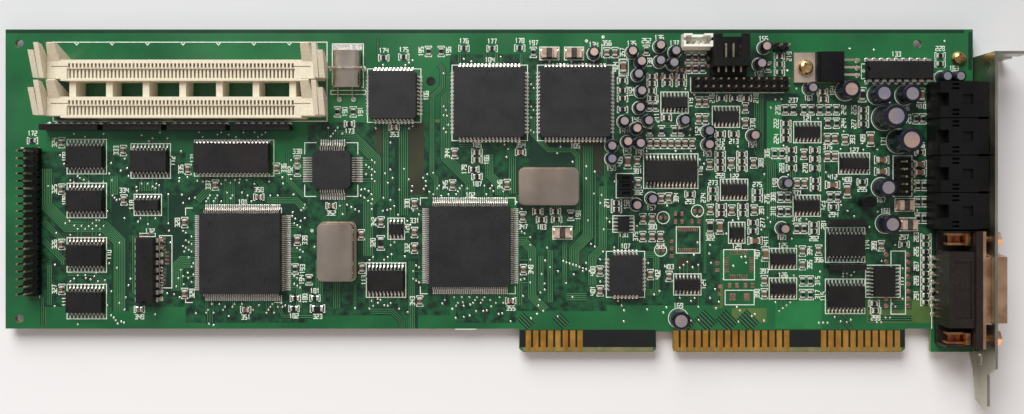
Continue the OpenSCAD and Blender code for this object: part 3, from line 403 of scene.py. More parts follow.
class Room:
    """Which cells of the board's upper face are taken."""

    CELL = 0.2
    # The grid goes a little past the board. Below the lowest row of free places lie the edge contacts.
    GRID_L, GRID_W = 335, 113
    EDGE, RIGHT_EDGE, LOWEST = 1, 2, 102

    def __init__(self):
        self.taken = np.zeros((int(self.GRID_W / self.CELL), int(self.GRID_L / self.CELL)), bool)

    def span(self, middle, size):
        """The cells along one side of a rectangle."""
        return slice(max(int((middle - size / 2) / self.CELL), 0), int((middle + size / 2) / self.CELL) + 1)

    def take(self, x, y, length, width):
        """Marks a rectangle as taken."""
        self.taken[self.span(y, width), self.span(x, length)] = True

    def free(self, x, y, length, width):
        """Whether a rectangle lies well inside the board with nothing in it."""
        across = self.EDGE < x - length / 2 and x + length / 2 < BOARD_L - self.RIGHT_EDGE
        down = self.EDGE < y - width / 2 and y + width / 2 < self.LOWEST
        return across and down and not self.taken[self.span(y, width), self.span(x, length)].any()


room = Room()
HOLE_KEEP = 6
TOOLING_HOLES = ((4.7, 4.9), (4.7, 99.5), (314, 5), (314, 98.4), (146.4, 17.9), (146.4, 95.9), (273.8, 95.8))


def take_nodes():
    """Marks what the CAD pieces and the tooling holes cover."""
    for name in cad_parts:
        if name not in ("circuit_board", "edge_contacts", "bracket"):
            for group in islands(name):
                room.take(*footprint(group))
    for x, y in TOOLING_HOLES:
        room.take(x, y, HOLE_KEEP, HOLE_KEEP)


# Solder

GULL_LEADS = (
    "synth_chip_leads", "bus_chip_leads", "converter_chip_leads", "wide_chip_leads", "narrow_chip_leads")
J_LEADS = ("plcc_leads", "memory_chip_leads")
THROUGH_PINS = (
    "ribbon_header_pins", "header_pins", "audio_socket_pins", "resistor_network_pins", "audio_jack_contacts",
    "game_port_pins", "dip_chip_leads", "crystal_strap", "crystal_can", "capacitor_cans", "oscillator_bases",
    "regulator_frame", "transistor")
PIN_KEEP = 1.8
ROUND_PAD_R, ROUND_SIDES = 0.85, 12


def heading_from(inner, outer):
    """The direction from one footprint's middle to another's, squared up to the board."""
    across, down = outer[0] - inner[0], outer[1] - inner[1]
    if abs(across) > abs(down):
        return Vector((math.copysign(1, across), 0))
    return Vector((0, math.copysign(1, down)))


def lead_feet():
    """Each gull-wing lead's foot, as its footprint on the board and the direction that it points in."""
    feet = []
    for name in GULL_LEADS:
        for group in islands(name):
            foot = footprint(group, below=CORNER.z + 0.01 * MM)
            feet.append((*foot, heading_from(footprint(group), foot)))
    return feet


def curled_feet():
    """Each J lead, as its footprint on the board and the direction from its curl to its shoulder."""
    feet = []
    for name in J_LEADS:
        for group in islands(name):
            top_z = max(p.z for p in group)
            shoulder = footprint([p for p in group if p.z > top_z - 0.3 * MM])
            curl = footprint(group, below=CORNER.z + 0.35 * MM)
            feet.append((*footprint(group), heading_from(curl, shoulder)))
    return feet


def solder_chip_ends(pads):
    """Solder round each small metal end, and at both ends of one that is as long as its part."""
    fillet_l, fillet_h, fillet_slope = 0.9, 0.3, 0.55
    for group in islands("chip_terminals"):
        x, y, length, width = footprint(group)
        room.take(x, y, length + 0.5, width + 0.5)
        if max(length, width) < 1.8:
            mound_at(pads, x, y, length + 0.5, width + 0.5, fillet_h, fillet_slope)
            continue
        for side in (-1, 1):
            if length > width:
                end = x + side * (length / 2 - 0.1)
                mound_at(pads, end, y, fillet_l, width + 0.4, fillet_h, fillet_slope)
            else:
                end = y + side * (width / 2 - 0.1)
                mound_at(pads, x, end, length + 0.4, fillet_l, fillet_h, fillet_slope)


def pad_size(foot, reach, side):
    """The length and width of a pad, larger than its foot by reach along it and by side across it."""
    length, width, heading = foot[2:]
    along_x, along_y = abs(heading.x), abs(heading.y)
    return length + reach * along_x + side * along_y, width + reach * along_y + side * along_x


def make_pads(gulls, curls):
    """Pads with solder under every surface-mounted lead, shifted out from the chip."""
    pads = bmesh.new()
    for foot in gulls:
        x, y, heading = foot[0], foot[1], foot[4]
        size = pad_size(foot, reach=0.9, side=0.12)
        mound_at(pads, x + heading.x * 0.15, y + heading.y * 0.15, *size, 0.06, 0.9)
        room.take(x, y, *size)
    for foot in curls:
        x, y = foot[0] + foot[4].x * 0.4, foot[1] + foot[4].y * 0.4
        size = pad_size(foot, reach=1.1, side=0.1)
        mound_at(pads, x, y, *size, 0.1, 0.8)
        room.take(x, y, *size)
    solder_chip_ends(pads)
    add_piece("lead_pads", pads, SOLDER)


def make_inductor_ends():
    """Metal caps on the two ends of each chip inductor."""
    caps = bmesh.new()
    for group in islands("inductors"):
        x, y, length, width = footprint(group)
        height = (max(p.z for p in group) - CORNER.z) / MM
        for side in (-1, 1):
            box_at(caps, x + side * (length / 2 - 0.75), y, 1.6, width + 0.06, height + 0.04)
            mound_at(caps, x + side * (length / 2 + 0.2), y, 1.2, width, 0.5, 0.5)
    add_piece("inductor_ends", caps, INDUCTOR_END)


def pin_places():
    """The board places of every pin that runs through the board. Points nearer than 1.1 are of one pin."""
    apart = 1.1
    places = []
    for name in THROUGH_PINS:
        for group in islands(name):
            low = [p for p in group if p.z < UNDER_Z - 0.3 * MM]
            if not low:
                continue
            spots = []
            for p in low:
                x, y = board_place(p)
                near = next((s for s in spots if math.dist(s[0], (x, y)) < apart), None)
                if near:
                    near.append((x, y))
                else:
                    spots.append([(x, y)])
            for s in spots:
                places.append((sum(p[0] for p in s) / len(s), sum(p[1] for p in s) / len(s)))
    return places


def make_pin_joints(pins):
    """Solder cones under the board and rings on top, at every pin."""
    joints = bmesh.new()
    rings = bmesh.new()
    cone_h, tip_r = 0.9, 0.34
    for x, y in pins:
        centre = place(x, y)
        centre.z = UNDER_Z - cone_h / 2 * MM
        bmesh.ops.create_cone(
            joints, cap_ends=True, segments=10, radius1=tip_r * MM, radius2=ROUND_PAD_R * MM,
            depth=cone_h * MM, matrix=Matrix.Translation(centre))
        dot_at(rings, x, y, ROUND_PAD_R, PAD, 0.9, ROUND_SIDES)
        room.take(x, y, PIN_KEEP, PIN_KEEP)
    add_piece("solder_joints", joints, SOLDER, smooth=True)
    add_piece("pin_rings", rings, SOLDER)


# Copper

def offset_line(points, shift):
    """A line moved sideways by a distance, with its corners kept parallel."""
    line = [Vector(p) for p in points]
    return [tuple(p + o) for p, o in zip(line, mitres(line, shift))] if shift else points


class Copper:
    """Traces under the mask, the dark gaps between them, and the areas that show the mask in another tone."""

    TONES = {
        "pour": MASK_OVER_POUR, "olive": MASK_OVER_OLIVE, "dense": MASK_OVER_DENSE,
        "dark": MASK_OVER_LAMINATE_AND_SHADOW, "brown": MASK_OVER_BROWN, "black": MASK_OVER_DARK, "bare": BARE_LAMINATE}
    VIA_R = 0.36

    def __init__(self):
        self.areas = {tone: bmesh.new() for tone in self.TONES}
        self.gaps = bmesh.new()
        self.traces = bmesh.new()
        self.vias = bmesh.new()

    def area(self, tone, left, top, right, bottom):
        """A rectangle of the board in another tone. Later tones lie over earlier ones."""
        lift = COPPER * 0.1 * (1 + list(self.TONES).index(tone))
        middle = (left + right) / 2
        ribbon(self.areas[tone], [(middle, top), (middle, bottom)], right - left, lift)

    def bus(self, points, count, step, width=0.3, lift=COPPER):
        """A bundle of parallel traces along a line."""
        ribbon(self.gaps, points, count * step + 0.35, lift * 0.7)
        for i in range(count):
            ribbon(self.traces, offset_line(points, (i - (count - 1) / 2) * step), width, lift)

    def via(self, x, y):
        """A via, filled with solder."""
        dot_at(self.vias, x, y, self.VIA_R, 0.06, 0.65)
        room.take(x, y, 2 * self.VIA_R, 2 * self.VIA_R)

    def build(self):
        """Turns what was laid into pieces."""
        for tone, shape in self.areas.items():
            add_piece("mask_area_" + tone, shape, self.TONES[tone], flat=True)
        add_piece("trace_gaps", self.gaps, MASK_OVER_LAMINATE_AND_SHADOW, flat=True)
        add_piece("traces", self.traces, MASK_OVER_TRACE, flat=True)
        add_piece("vias", self.vias, SOLDER)


def fan_out(copper, feet, chance, reach):
    """Short traces from leads out to vias, staggered as on the real board, wherever there is room."""
    for i, (x, y, length, width, heading) in enumerate(feet):
        if rng.random() > chance:
            continue
        half = (length if heading.x else width) / 2
        start = Vector((x, y)) + heading * (half + 0.5)
        end = start + heading * reach[i % len(reach)]
        if not room.free(end.x, end.y, 0.8, 0.8):
            continue
        copper.bus([tuple(start), tuple(end)], 1, 0.3, 0.25, 1.5 * COPPER)
        copper.via(end.x, end.y)


def scatter_vias(copper, area, count):
    """Single vias in the free places of an area."""
    left, top, right, bottom = area
    for _ in range(count):
        x, y = rng.uniform(left, right), rng.uniform(top, bottom)
        if room.free(x, y, 1.0, 1.0):
            copper.via(x, y)


# Screened ink

STROKE, THIN_STROKE = 0.28, 0.24
DIGIT_H = 1.5

# The strokes of each digit, on a grid two wide and four high
DIGITS = {
    "0": [[(0, 0), (2, 0), (2, 4), (0, 4), (0, 0)]],
    "1": [[(0.3, 3.2), (1, 4), (1, 0)]],
    "2": [[(0, 4), (2, 4), (2, 2.2), (0, 1.6), (0, 0), (2, 0)]],
    "3": [[(0, 4), (2, 4), (2, 0), (0, 0)], [(0.6, 2), (2, 2)]],
    "4": [[(0, 4), (0, 2), (2, 2)], [(2, 4), (2, 0)]],
    "5": [[(2, 4), (0, 4), (0, 2.2), (2, 1.8), (2, 0), (0, 0)]],
    "6": [[(2, 4), (0, 4), (0, 0), (2, 0), (2, 2), (0, 2)]],
    "7": [[(0, 4), (2, 4), (0.8, 0)]],
    "8": [[(0, 0), (2, 0), (2, 4), (0, 4), (0, 0)], [(0, 2), (2, 2)]],
    "9": [[(0, 0), (2, 0), (2, 4), (0, 4), (0, 2), (2, 2)]],
}


class Ink:
    """Screened lines, outlines and plain numbers."""

    def __init__(self):
        self.shape = bmesh.new()
        self.count = 100

    def line(self, points, width=STROKE):
        """A line along board places."""
        ribbon(self.shape, points, width, INK)

    def outline(self, x, y, length, width):
        """A rectangle's outline, centred at a place."""
        left, right, top, bottom = x - length / 2, x + length / 2, y - width / 2, y + width / 2
        corners = [(left, top), (right, top), (right, bottom), (left, bottom)]
        ribbon(self.shape, corners, STROKE, INK, closed=True)

    def brackets(self, x, y, length, width, upright):
        """A pair of square brackets that face each other, as round a chip resistor."""
        arm = 0.6
        if upright:
            length, width = width, length
        for s in (-1, 1):
            corners = [(s * (length / 2 - arm), -width / 2), (s * length / 2, -width / 2),
                       (s * length / 2, width / 2), (s * (length / 2 - arm), width / 2)]
            self.line([(x + v, y + u) if upright else (x + u, y + v) for u, v in corners], THIN_STROKE)

    def ring(self, x, y, radius):
        """A circle round a place."""
        ring_at(self.shape, x, y, radius, STROKE, INK)

    def number(self, text, x, y, turned):
        """A row of digits centred at a place, upright or turned a quarter to the left."""
        unit = DIGIT_H / 4
        start = -len(text) * 3 * unit / 2 + 0.5 * unit
        for i, digit in enumerate(text):
            for stroke in DIGITS[digit]:
                spots = [(start + (u + 3 * i) * unit, DIGIT_H / 2 - v * unit) for u, v in stroke]
                self.line([(x + v, y - u) if turned else (x + u, y + v) for u, v in spots], DIGIT_H * 0.19)

    def label(self, x, y, length, width):
        """The next number, beside a part, where there is room for it."""
        self.count += 1
        text = str(self.count)
        wide = len(text) * DIGIT_H * 0.75
        for gap in (1.2, 1.9, 2.7, 3.5):
            for dx, dy, turned in ((0, -width / 2 - gap, False), (0, width / 2 + gap, False),
                                   (-length / 2 - gap, 0, True), (length / 2 + gap, 0, True)):
                across, down = (DIGIT_H, wide) if turned else (wide, DIGIT_H)
                if room.free(x + dx, y + dy, across, down):
                    self.number(text, x + dx, y + dy, turned)
                    room.take(x + dx, y + dy, across + 0.4, down + 0.4)
                    return

    def build(self):
        """Turns the ink into one piece."""
        add_piece("screened_lines", self.shape, INK_WHITE, flat=True)


# The board's tones, as tone, left, top, right, bottom
AREAS = (
    ("dark", 0.2, 0.2, 330, 1.3), ("dark", 331.4, 1, 332.8, 14),
    # Between the ribbon header and the left square chip
    ("dense", 11.8, 42, 62, 95.5), ("dark", 13, 47, 16, 62), ("dark", 17, 65.5, 34, 70),
    ("dark", 36.5, 56, 42.5, 97), ("dark", 45, 50.5, 54.5, 57), ("dark", 55.5, 57, 62, 92),
    ("dense", 62, 50.5, 104, 101), ("brown", 21, 70.5, 36, 74), ("pour", 43, 59, 55, 68),
    ("olive", 12.2, 92, 14, 102),
    # Round the converter chip and the 44-lead chip
    ("pour", 85, 50.5, 96, 60), ("dark", 93.5, 58, 104, 67), ("dense", 104, 32, 153, 98.5),
    ("brown", 138, 31.5, 144, 57), ("dark", 134, 35, 137.8, 64), ("pour", 130.5, 35, 133.8, 61),
    ("brown", 127.5, 33, 130.3, 58), ("dark", 120, 60, 128, 79), ("olive", 146.5, 31, 151, 45),
    # Round the 68-lead chips and the right square chip
    ("dense", 153, 8.5, 206, 57.5), ("olive", 154, 38.2, 176, 41), ("dark", 164.8, 41.6, 168.4, 46.4),
    ("dark", 173.3, 45.5, 176.4, 57), ("dark", 180.5, 35.5, 197, 47.5), ("dense", 176, 57.5, 207, 97),
    ("brown", 198, 36.5, 206, 50), ("olive", 181.7, 71, 190.5, 95), ("pour", 190.5, 78.5, 193, 80.4),
    ("pour", 199, 85.5, 204, 95), ("brown", 193.5, 75, 198.5, 83),
    # The analogue half
    ("dense", 207, 7, 262, 76), ("dark", 223, 9, 243, 17), ("dark", 255.4, 22, 262, 48),
    # The dark patch from 262 to 268 across and 21 to 24.5 down is a painted shadow off a header's lower right
    # corner.
    ("pour", 262, 25, 267, 47.5), ("dense", 267, 22, 320, 72), ("dark", 262, 21, 268, 24.5),
    ("olive", 243.5, 88, 247, 96), ("olive", 250, 96, 262, 101), ("dense", 207, 76, 246, 95),
    ("brown", 231, 78.5, 236, 82.5), ("dark", 221.5, 78.4, 226.5, 90), ("olive", 296.5, 93, 320, 101),
    ("dense", 281.5, 72.2, 320, 93), ("pour", 265, 93.5, 281, 103), ("dense", 262, 48, 267, 93),
    # Above the edge contacts
    ("dense", 155, 93.5, 175.8, 101), ("dark", 140, 79, 142, 103), ("dark", 69, 96.5, 72, 101.4),
    ("black", 177, 103.4, 223.8, 109.4), ("black", 229.9, 103.4, 309.5, 109.4),
    ("bare", 178, 109.4, 222.8, 110.9), ("bare", 231, 109.4, 308.5, 110.9),
)

# Bundles of traces, as points, number and step
BUSES = (
    # Between the ribbon header and the left square chip
    ([(37.4, 50.5), (37.4, 57)], 5, 0.6),
    ([(14, 48), (14, 60.5), (21.3, 67.8), (34, 67.8), (39.2, 73), (39.2, 97)], 7, 0.6),
    ([(13, 66), (20, 73)], 3, 0.7), ([(13, 72.5), (20, 79.5), (20, 81)], 3, 0.7),
    ([(15.2, 81), (15.2, 95)], 3, 0.6), ([(49, 52.3), (49, 55.6)], 8, 0.8),
    ([(56, 57), (56, 66.5)], 1, 0.6), ([(12.8, 92), (12.8, 102)], 2, 0.6),
    ([(63.8, 80), (61, 80), (59, 82), (59, 90)], 7, 0.6), ([(70.4, 96.5), (70.4, 101)], 3, 0.8),
    ([(21.5, 84), (31, 84), (34, 87), (34, 95)], 3, 0.7), ([(44.5, 71), (44.5, 90), (47, 92.5)], 3, 0.7),
    ([(43, 59), (47.5, 63.5), (54, 63.5)], 3, 0.7), ([(26, 50.5), (30, 54.5), (30, 58)], 3, 0.7),
    ([(93.5, 94), (95.5, 98.7), (109, 98.9)], 2, 0.7),
    # Round the converter chip and the 44-lead chip
    ([(97.4, 42.6), (97.4, 52), (103, 57.6)], 3, 0.6), ([(90, 58.8), (100, 58.8), (103.3, 62.1)], 4, 0.6),
    ([(70, 51.2), (70, 55), (66, 59)], 4, 0.7), ([(77, 51.2), (77, 60)], 6, 0.7),
    ([(86, 51), (90, 55)], 3, 0.7),
    ([(113.5, 36.5), (119.3, 36.5), (127.5, 44.7), (127.5, 57.3), (124.8, 60), (124.8, 78)], 6, 0.6),
    ([(130.9, 32), (130.9, 58)], 3, 0.7), ([(137, 35), (137, 64)], 5, 0.7),
    ([(115.8, 58.6), (115.8, 64.4)], 4, 0.7), ([(120.3, 88), (120.3, 95.6)], 2, 0.6),
    ([(139.8, 79.8), (139.8, 103)], 4, 0.6), ([(128.2, 2.8), (128.2, 9)], 1, 0.6),
    ([(112, 66), (112, 76), (108, 80), (108, 92)], 4, 0.7),
    ([(118, 79.5), (114, 83.5), (114, 96)], 4, 0.7),
    ([(126, 97), (133, 97), (136.5, 100.5), (136.5, 103)], 3, 0.7), ([(101, 88), (101, 96)], 3, 0.7),
    ([(149, 12), (150.5, 13.5), (150.5, 19.5), (146.8, 23.2), (146.8, 50), (148.2, 51.4),
      (148.2, 57)], 3, 0.6),
    # Round the 68-lead chips and the right square chip
    ([(153.4, 22), (151.5, 24), (151.5, 44), (160, 52.5), (160, 57)], 6, 0.6),
    ([(156, 39.6), (164, 39.6)], 3, 0.8), ([(166.5, 43), (166.5, 50), (170, 53.5), (170, 57)], 5, 0.6),
    ([(174.5, 44), (174.5, 56.5)], 4, 0.7), ([(156.3, 8.5), (156.3, 12)], 2, 0.6),
    ([(165, 8.5), (165, 12)], 2, 0.6), ([(169, 8.5), (169, 12)], 2, 0.6),
    ([(177.5, 8.5), (177.5, 12)], 2, 0.6),
    ([(181.5, 30), (181.5, 36), (187, 41.5), (195, 41.5), (197, 43.5), (197, 69), (192.5, 73.5),
      (192.5, 88)], 3, 0.6),
    ([(200.5, 40), (200.5, 71), (195.8, 75.7), (195.8, 83)], 6, 0.6),
    ([(203, 49.3), (203, 74.5)], 1, 0.6), ([(205.6, 54), (205.6, 75), (202, 78.6), (202, 88)], 5, 0.6),
    ([(186, 49), (190, 53), (190, 70)], 4, 0.7),
    ([(176.5, 73), (178.5, 73), (181.3, 76), (181.3, 92), (186, 96.7)], 5, 0.6),
    ([(184.3, 78), (184.3, 90)], 3, 0.7), ([(187.5, 76), (187.5, 94)], 3, 0.7),
    ([(193, 92), (200, 92)], 4, 0.7), ([(177, 86), (177, 95)], 3, 0.7),
    # The analogue half
    ([(219.6, 77.5), (224, 77.5), (224, 90.5), (219.6, 90.5)], 4, 0.6),
    ([(212.2, 70.5), (212.2, 75.5)], 4, 0.8), ([(240.8, 55), (240.8, 84)], 2, 0.6),
    ([(259.3, 22), (259.3, 42), (263.6, 46.5), (263.6, 66)], 5, 0.7), ([(207, 43), (207, 50.5)], 3, 0.7),
    ([(226, 33), (234, 33), (236, 35)], 3, 0.7), ([(243, 57), (243, 72)], 3, 0.7),
    ([(226, 44), (226, 54)], 4, 0.8), ([(251, 44), (251, 54)], 3, 0.8), ([(262, 70), (262, 90)], 3, 0.7),
    ([(231.5, 98), (236, 102.5)], 4, 1.1), ([(238.8, 98), (243.3, 102.5)], 4, 1.1),
    ([(246.1, 98), (250.6, 102.5)], 4, 1.1), ([(253.4, 98), (257.9, 102.5)], 4, 1.1),
    ([(177, 98.5), (181, 102.5)], 3, 1), ([(189.5, 98.5), (193, 102)], 3, 1),
    ([(285, 97), (291, 103)], 2, 0.7), ([(297, 95), (312, 95)], 3, 0.8),
    ([(297, 99.5), (312, 99.5)], 2, 0.8), ([(271, 48), (271, 60)], 3, 0.8),
    ([(281, 44), (281, 56)], 3, 0.8), ([(300, 44), (300, 50)], 3, 0.8),
)

# Vias, as places
VIAS = (
    # Between the ribbon header and the left square chip
    (24.8, 50.6), (25.6, 51.2), (26.9, 51.8), (20.5, 66.8), (22, 66), (23.6, 67.6), (24.8, 84.7),
    (27.4, 84.7), (27.6, 85.7), (29.2, 86.1), (30.5, 85), (31.8, 86.8), (34.2, 86.4), (36.3, 98.5),
    (37.2, 99.3), (37.9, 100.2), (38.6, 101.3), (39.8, 100.6), (40.7, 101), (45, 54.3), (41, 44.6),
    (41.8, 47.8), (36.8, 57.2), (37.5, 58), (38.2, 58.8), (39.3, 58.5), (56, 56.8), (56, 66.8),
    (59.7, 52.3), (63.2, 58.3), (65.2, 58), (60.3, 82.8), (62.7, 83.8), (59.5, 85.7), (62.9, 85.6),
    (58.8, 88.5), (61.3, 87.8), (58, 91.2), (59.9, 92.2), (70, 101.4), (71.6, 101.8), (40.9, 65),
    (40.9, 96.5),
    # Round the converter chip and the 44-lead chip
    (75.7, 51.8), (77.4, 52.8), (79, 51.8), (80.4, 52.8), (83, 51.8), (103, 60.4), (102.6, 61.5),
    (101.7, 62.3), (98.8, 63), (98.7, 64.3), (99.7, 65.2), (103, 65), (101.6, 66), (122.5, 55.2),
    (123.7, 55), (125, 55.7), (126, 56.8), (126.3, 58.5), (124.8, 59), (126, 60), (122.3, 57.3),
    (123.6, 58), (117.6, 60.4), (119, 61.2), (120.4, 62), (121.7, 62.7), (120.3, 96), (126, 93.5),
    (128.2, 94.2), (130.4, 95), (132.6, 94.2), (138.3, 66), (139.4, 67.3), (137.5, 78.2), (138.8, 51.7),
    (140, 54), (144.7, 52.3), (144.7, 53.9), (144, 55), (132.5, 39), (132.5, 48.3), (132.5, 58.8),
    # Round the 68-lead chips and the right square chip
    (150.8, 29.6), (152, 29.8), (180.8, 34.8), (150.4, 94.4), (153.8, 96.3), (155, 99.4), (157.5, 94),
    (157.8, 99), (159.8, 98.5), (160, 94.8), (162, 97), (164.5, 97), (165.7, 96.8), (167.2, 95.4),
    (169.8, 98), (171, 97.8), (192, 79.8), (193.1, 80.2), (194.2, 80.6), (195.4, 81), (196.5, 81.4),
    (197.6, 81.8), (198.8, 82.2), (199.9, 82.6), (201, 83.2), (202.9, 49), (202.9, 74.8),
    # The analogue half
    (285.5, 99), (287.5, 100.5), (291, 100), (280, 101), (281.5, 101), (283, 101), (300, 100.8),
    (301.5, 100.8), (303, 99.2), (304.5, 99.2), (290.7, 6.6), (299, 7), (323.3, 4), (253.7, 31),
    (263.5, 27), (205.7, 3), (200, 4),
)

# Outlines of parts that were never fitted and of free areas, as left, top, right, bottom
SCREENED_BOXES = (
    (230.9, 68, 239, 77), (247.2, 75.8, 257.8, 86.2), (247.7, 89.8, 257.7, 94.8),
    (304.8, 76.3, 309.8, 98), (53, 71, 57.3, 89), (46.2, 70.2, 51.6, 71.3), (294.6, 11.9, 297.2, 17),
    (211.2, 10.2, 214.4, 16), (112.5, 5, 123.2, 20), (16.4, 4.4, 110.7, 31.6), (112, 21, 124, 22.4),
    (210.2, 49.6, 216, 58), (305.5, 43.5, 312, 57.5),
)
SCREENED_LINES = (
    [(5.2, 40.8), (11.8, 40.8), (11.8, 92.5)], [(205.3, 5), (205.3, 9.8)], [(235.8, 16.5), (235.8, 21.5)],
    [(236, 21.8), (268, 21.8)], [(318.8, 95), (318.8, 103)], [(154.8, 103.2), (162, 103.2)],
)
# Corner marks round the square chips, as left, top, right, bottom and arm
CORNER_MARKS = (
    (103, 39, 121.3, 57.5, 4), (142.8, 58, 175.5, 91, 2.5), (62, 61.5, 95, 94, 2.5),
)
# The notches by the memory socket, as first place, step and number
NOTCHES = ((24.5, 4.4), 12.2, 7)
# The places of round cans that were never fitted, and of small screened dots
CAN_RING_R, DOT_R = 2.1, 0.4
EMPTY_CANS = ((226.4, 64.8), (238.2, 62.5), (225.5, 76))
SCREENED_DOTS = ((105.5, 69.3), (200, 4), (205.7, 2.6), (295.4, 14.3), (44, 41), (24, 41.4), (222, 40.6))

# Bare pads of parts that were never fitted, as first place, step, number, length and width
BARE_PADS = (
    ((231.7, 68.7), (0.65, 0), 11, 0.4, 1.5), ((231.7, 76.2), (0.65, 0), 11, 0.4, 1.5),
    ((249.5, 76.7), (0.8, 0), 8, 0.45, 1.5), ((249.5, 85.2), (0.8, 0), 8, 0.45, 1.5),
    ((248.3, 78.6), (0, 0.8), 7, 1.5, 0.45), ((256.8, 78.6), (0, 0.8), 7, 1.5, 0.45),
    ((250.3, 92.1), (4.9, 0), 2, 2, 2.2), ((249.3, 88.1), (2.5, 0), 2, 1.2, 1.5),
    ((254.7, 88.1), (2.5, 0), 2, 1.2, 1.5), ((246, 88.5), (0, 2.5), 2, 1.5, 1.2),
    ((245.1, 80.5), (0, 2.4), 2, 1.5, 1.2), ((229.3, 73), (0, 2.5), 3, 1.3, 1.2),
    ((230.6, 63.4), (2.3, 0), 2, 1.1, 1.4), ((230.6, 66.2), (2.3, 0), 2, 1.1, 1.4),
    ((236.3, 66), (2.4, 0), 2, 1.1, 1.4), ((54.3, 72), (0, 1.27), 4, 1.6, 0.6),
    ((54.3, 82.5), (0, 1.27), 5, 1.6, 0.6), ((55.6, 76.8), (0, 1.27), 4, 1.6, 0.6),
    ((225.5, 64.8), (1.8, 0), 2, 1.2, 1.2), ((237.3, 62.5), (1.8, 0), 2, 1.2, 1.2),
    ((224.6, 76), (1.8, 0), 2, 1.2, 1.2), ((236.5, 10), (1.8, 0), 4, 1, 1.2),
    ((236.5, 12.6), (1.8, 0), 4, 1, 1.2), ((231.2, 14), (1.6, 0), 4, 0.9, 1.2),
    ((224, 16.6), (1.9, 0), 6, 1.1, 1.2), ((46.8, 70.8), (2.2, 0), 2, 1.6, 0.6),
)
# Bare round pads in columns at the usual pitch, as first place and number
PIN_PITCH = 2.54
BARE_ROUND_PADS = ((310.8, 77.5, 8), (303.2, 77.5, 2), (303.2, 92.7, 2))
# The plated strip under the crystal can, as its middle, length and width
CRYSTAL_STRIP = (117.8, 6.2, 10, 2)

# How much larger than its node's pieces a screened outline is, in length and in width
OUTLINED = {
    "plcc_68_body_1": (1.8, 1.8), "plcc_68_body_2": (1.8, 1.8), "plcc_44_body": (1.8, 1.8),
    "plcc_32_body": (1.8, 1.8), "wide_chip_bodies": (0.8, 4.4), "narrow_chip_bodies": (0.8, 3.4),
    "memory_chip_body": (1.4, 2.2), "inductors": (1.6, 1.2)}
# The nodes whose pieces get a number, in the order of the numbers
NUMBERED = (
    "synth_chip_body", "bus_chip_body", "converter_chip_body", "plcc_68_body_1", "plcc_68_body_2",
    "plcc_44_body", "plcc_32_body", "wide_chip_bodies", "narrow_chip_bodies", "memory_chip_body",
    "dip_chip_bodies", "capacitor_sleeves", "chip_resistors", "chip_capacitors")


def lay_board(copper, ink):
    """The mask's tones, the bundles of traces, and what is screened and plated where no part was fitted."""
    for area in AREAS:
        copper.area(*area)
    for points, count, step in BUSES:
        copper.bus(points, count, step)
    for x, y in VIAS:
        copper.via(x, y)
    for left, top, right, bottom in SCREENED_BOXES:
        ink.outline((left + right) / 2, (top + bottom) / 2, right - left, bottom - top)
    for points in SCREENED_LINES:
        ink.line(points)
    (notch_x, notch_y), notch_step, notches = NOTCHES
    for i in range(notches):
        x = notch_x + notch_step * i
        ink.line([(x - 0.9, notch_y), (x, notch_y + 1), (x + 0.9, notch_y)])
    for left, top, right, bottom, arm in CORNER_MARKS:
        corners = ((left, top, 1, 1), (right, top, -1, 1), (right, bottom, -1, -1), (left, bottom, 1, -1))
        for x, y, sx, sy in corners:
            ink.line([(x + sx * arm, y), (x, y), (x, y + sy * arm)])
    for x, y in SCREENED_DOTS:
        ink.ring(x, y, DOT_R)
    for x, y in EMPTY_CANS:
        ink.ring(x, y, CAN_RING_R)
    pads = bmesh.new()
    for (x, y), (step_x, step_y), number, length, width in BARE_PADS:
        for i in range(number):
            mound_at(pads, x + i * step_x, y + i * step_y, length, width, PAD, 0.9)
            room.take(x + i * step_x, y + i * step_y, length, width)
    for x, y, number in BARE_ROUND_PADS:
        for i in range(number):
            dot_at(pads, x, y + PIN_PITCH * i, 0.8, PAD, 0.9, ROUND_SIDES)
            room.take(x, y + PIN_PITCH * i, PIN_KEEP, PIN_KEEP)
    add_piece("bare_pads", pads, BARE_PAD)
    mound_at(copper.vias, *CRYSTAL_STRIP, PAD, 0.95)


def ink_round_parts(ink):
    """Outlines round the chips and inductors, rings round the cans, and brackets round the small chips."""
    for name, (over_x, over_y) in OUTLINED.items():
        for group in islands(name):
            x, y, length, width = footprint(group)
            if name in ("wide_chip_bodies", "narrow_chip_bodies") and width > length:
                ink.outline(x, y, length + over_y, width + over_x)
            else:
                ink.outline(x, y, length + over_x, width + over_y)
    for group in islands("capacitor_sleeves"):
        x, y, length, width = footprint(group)
        ink.ring(x, y, length / 2 + 0.3)
    for name in ("chip_resistors", "chip_capacitors"):
        for group in islands(name):
            x, y, length, width = footprint(group)
            large = max(length, width) > 2
            upright = (width > length) == large
            long, wide = (5, 2.6) if large else (3.6, 2.2)
            across, down = (wide, long) if upright else (long, wide)
            ink.brackets(x, y, across, down, upright)
            room.take(x, y, across + 0.3, down + 0.3)


def number_parts(ink):
    """Plain running numbers beside the parts, where there is room."""
    for name in NUMBERED:
        for group in islands(name):
            ink.label(*footprint(group))


# Stage

FLOOR_HALF = 3
FLOOR_GAP = 0.0002


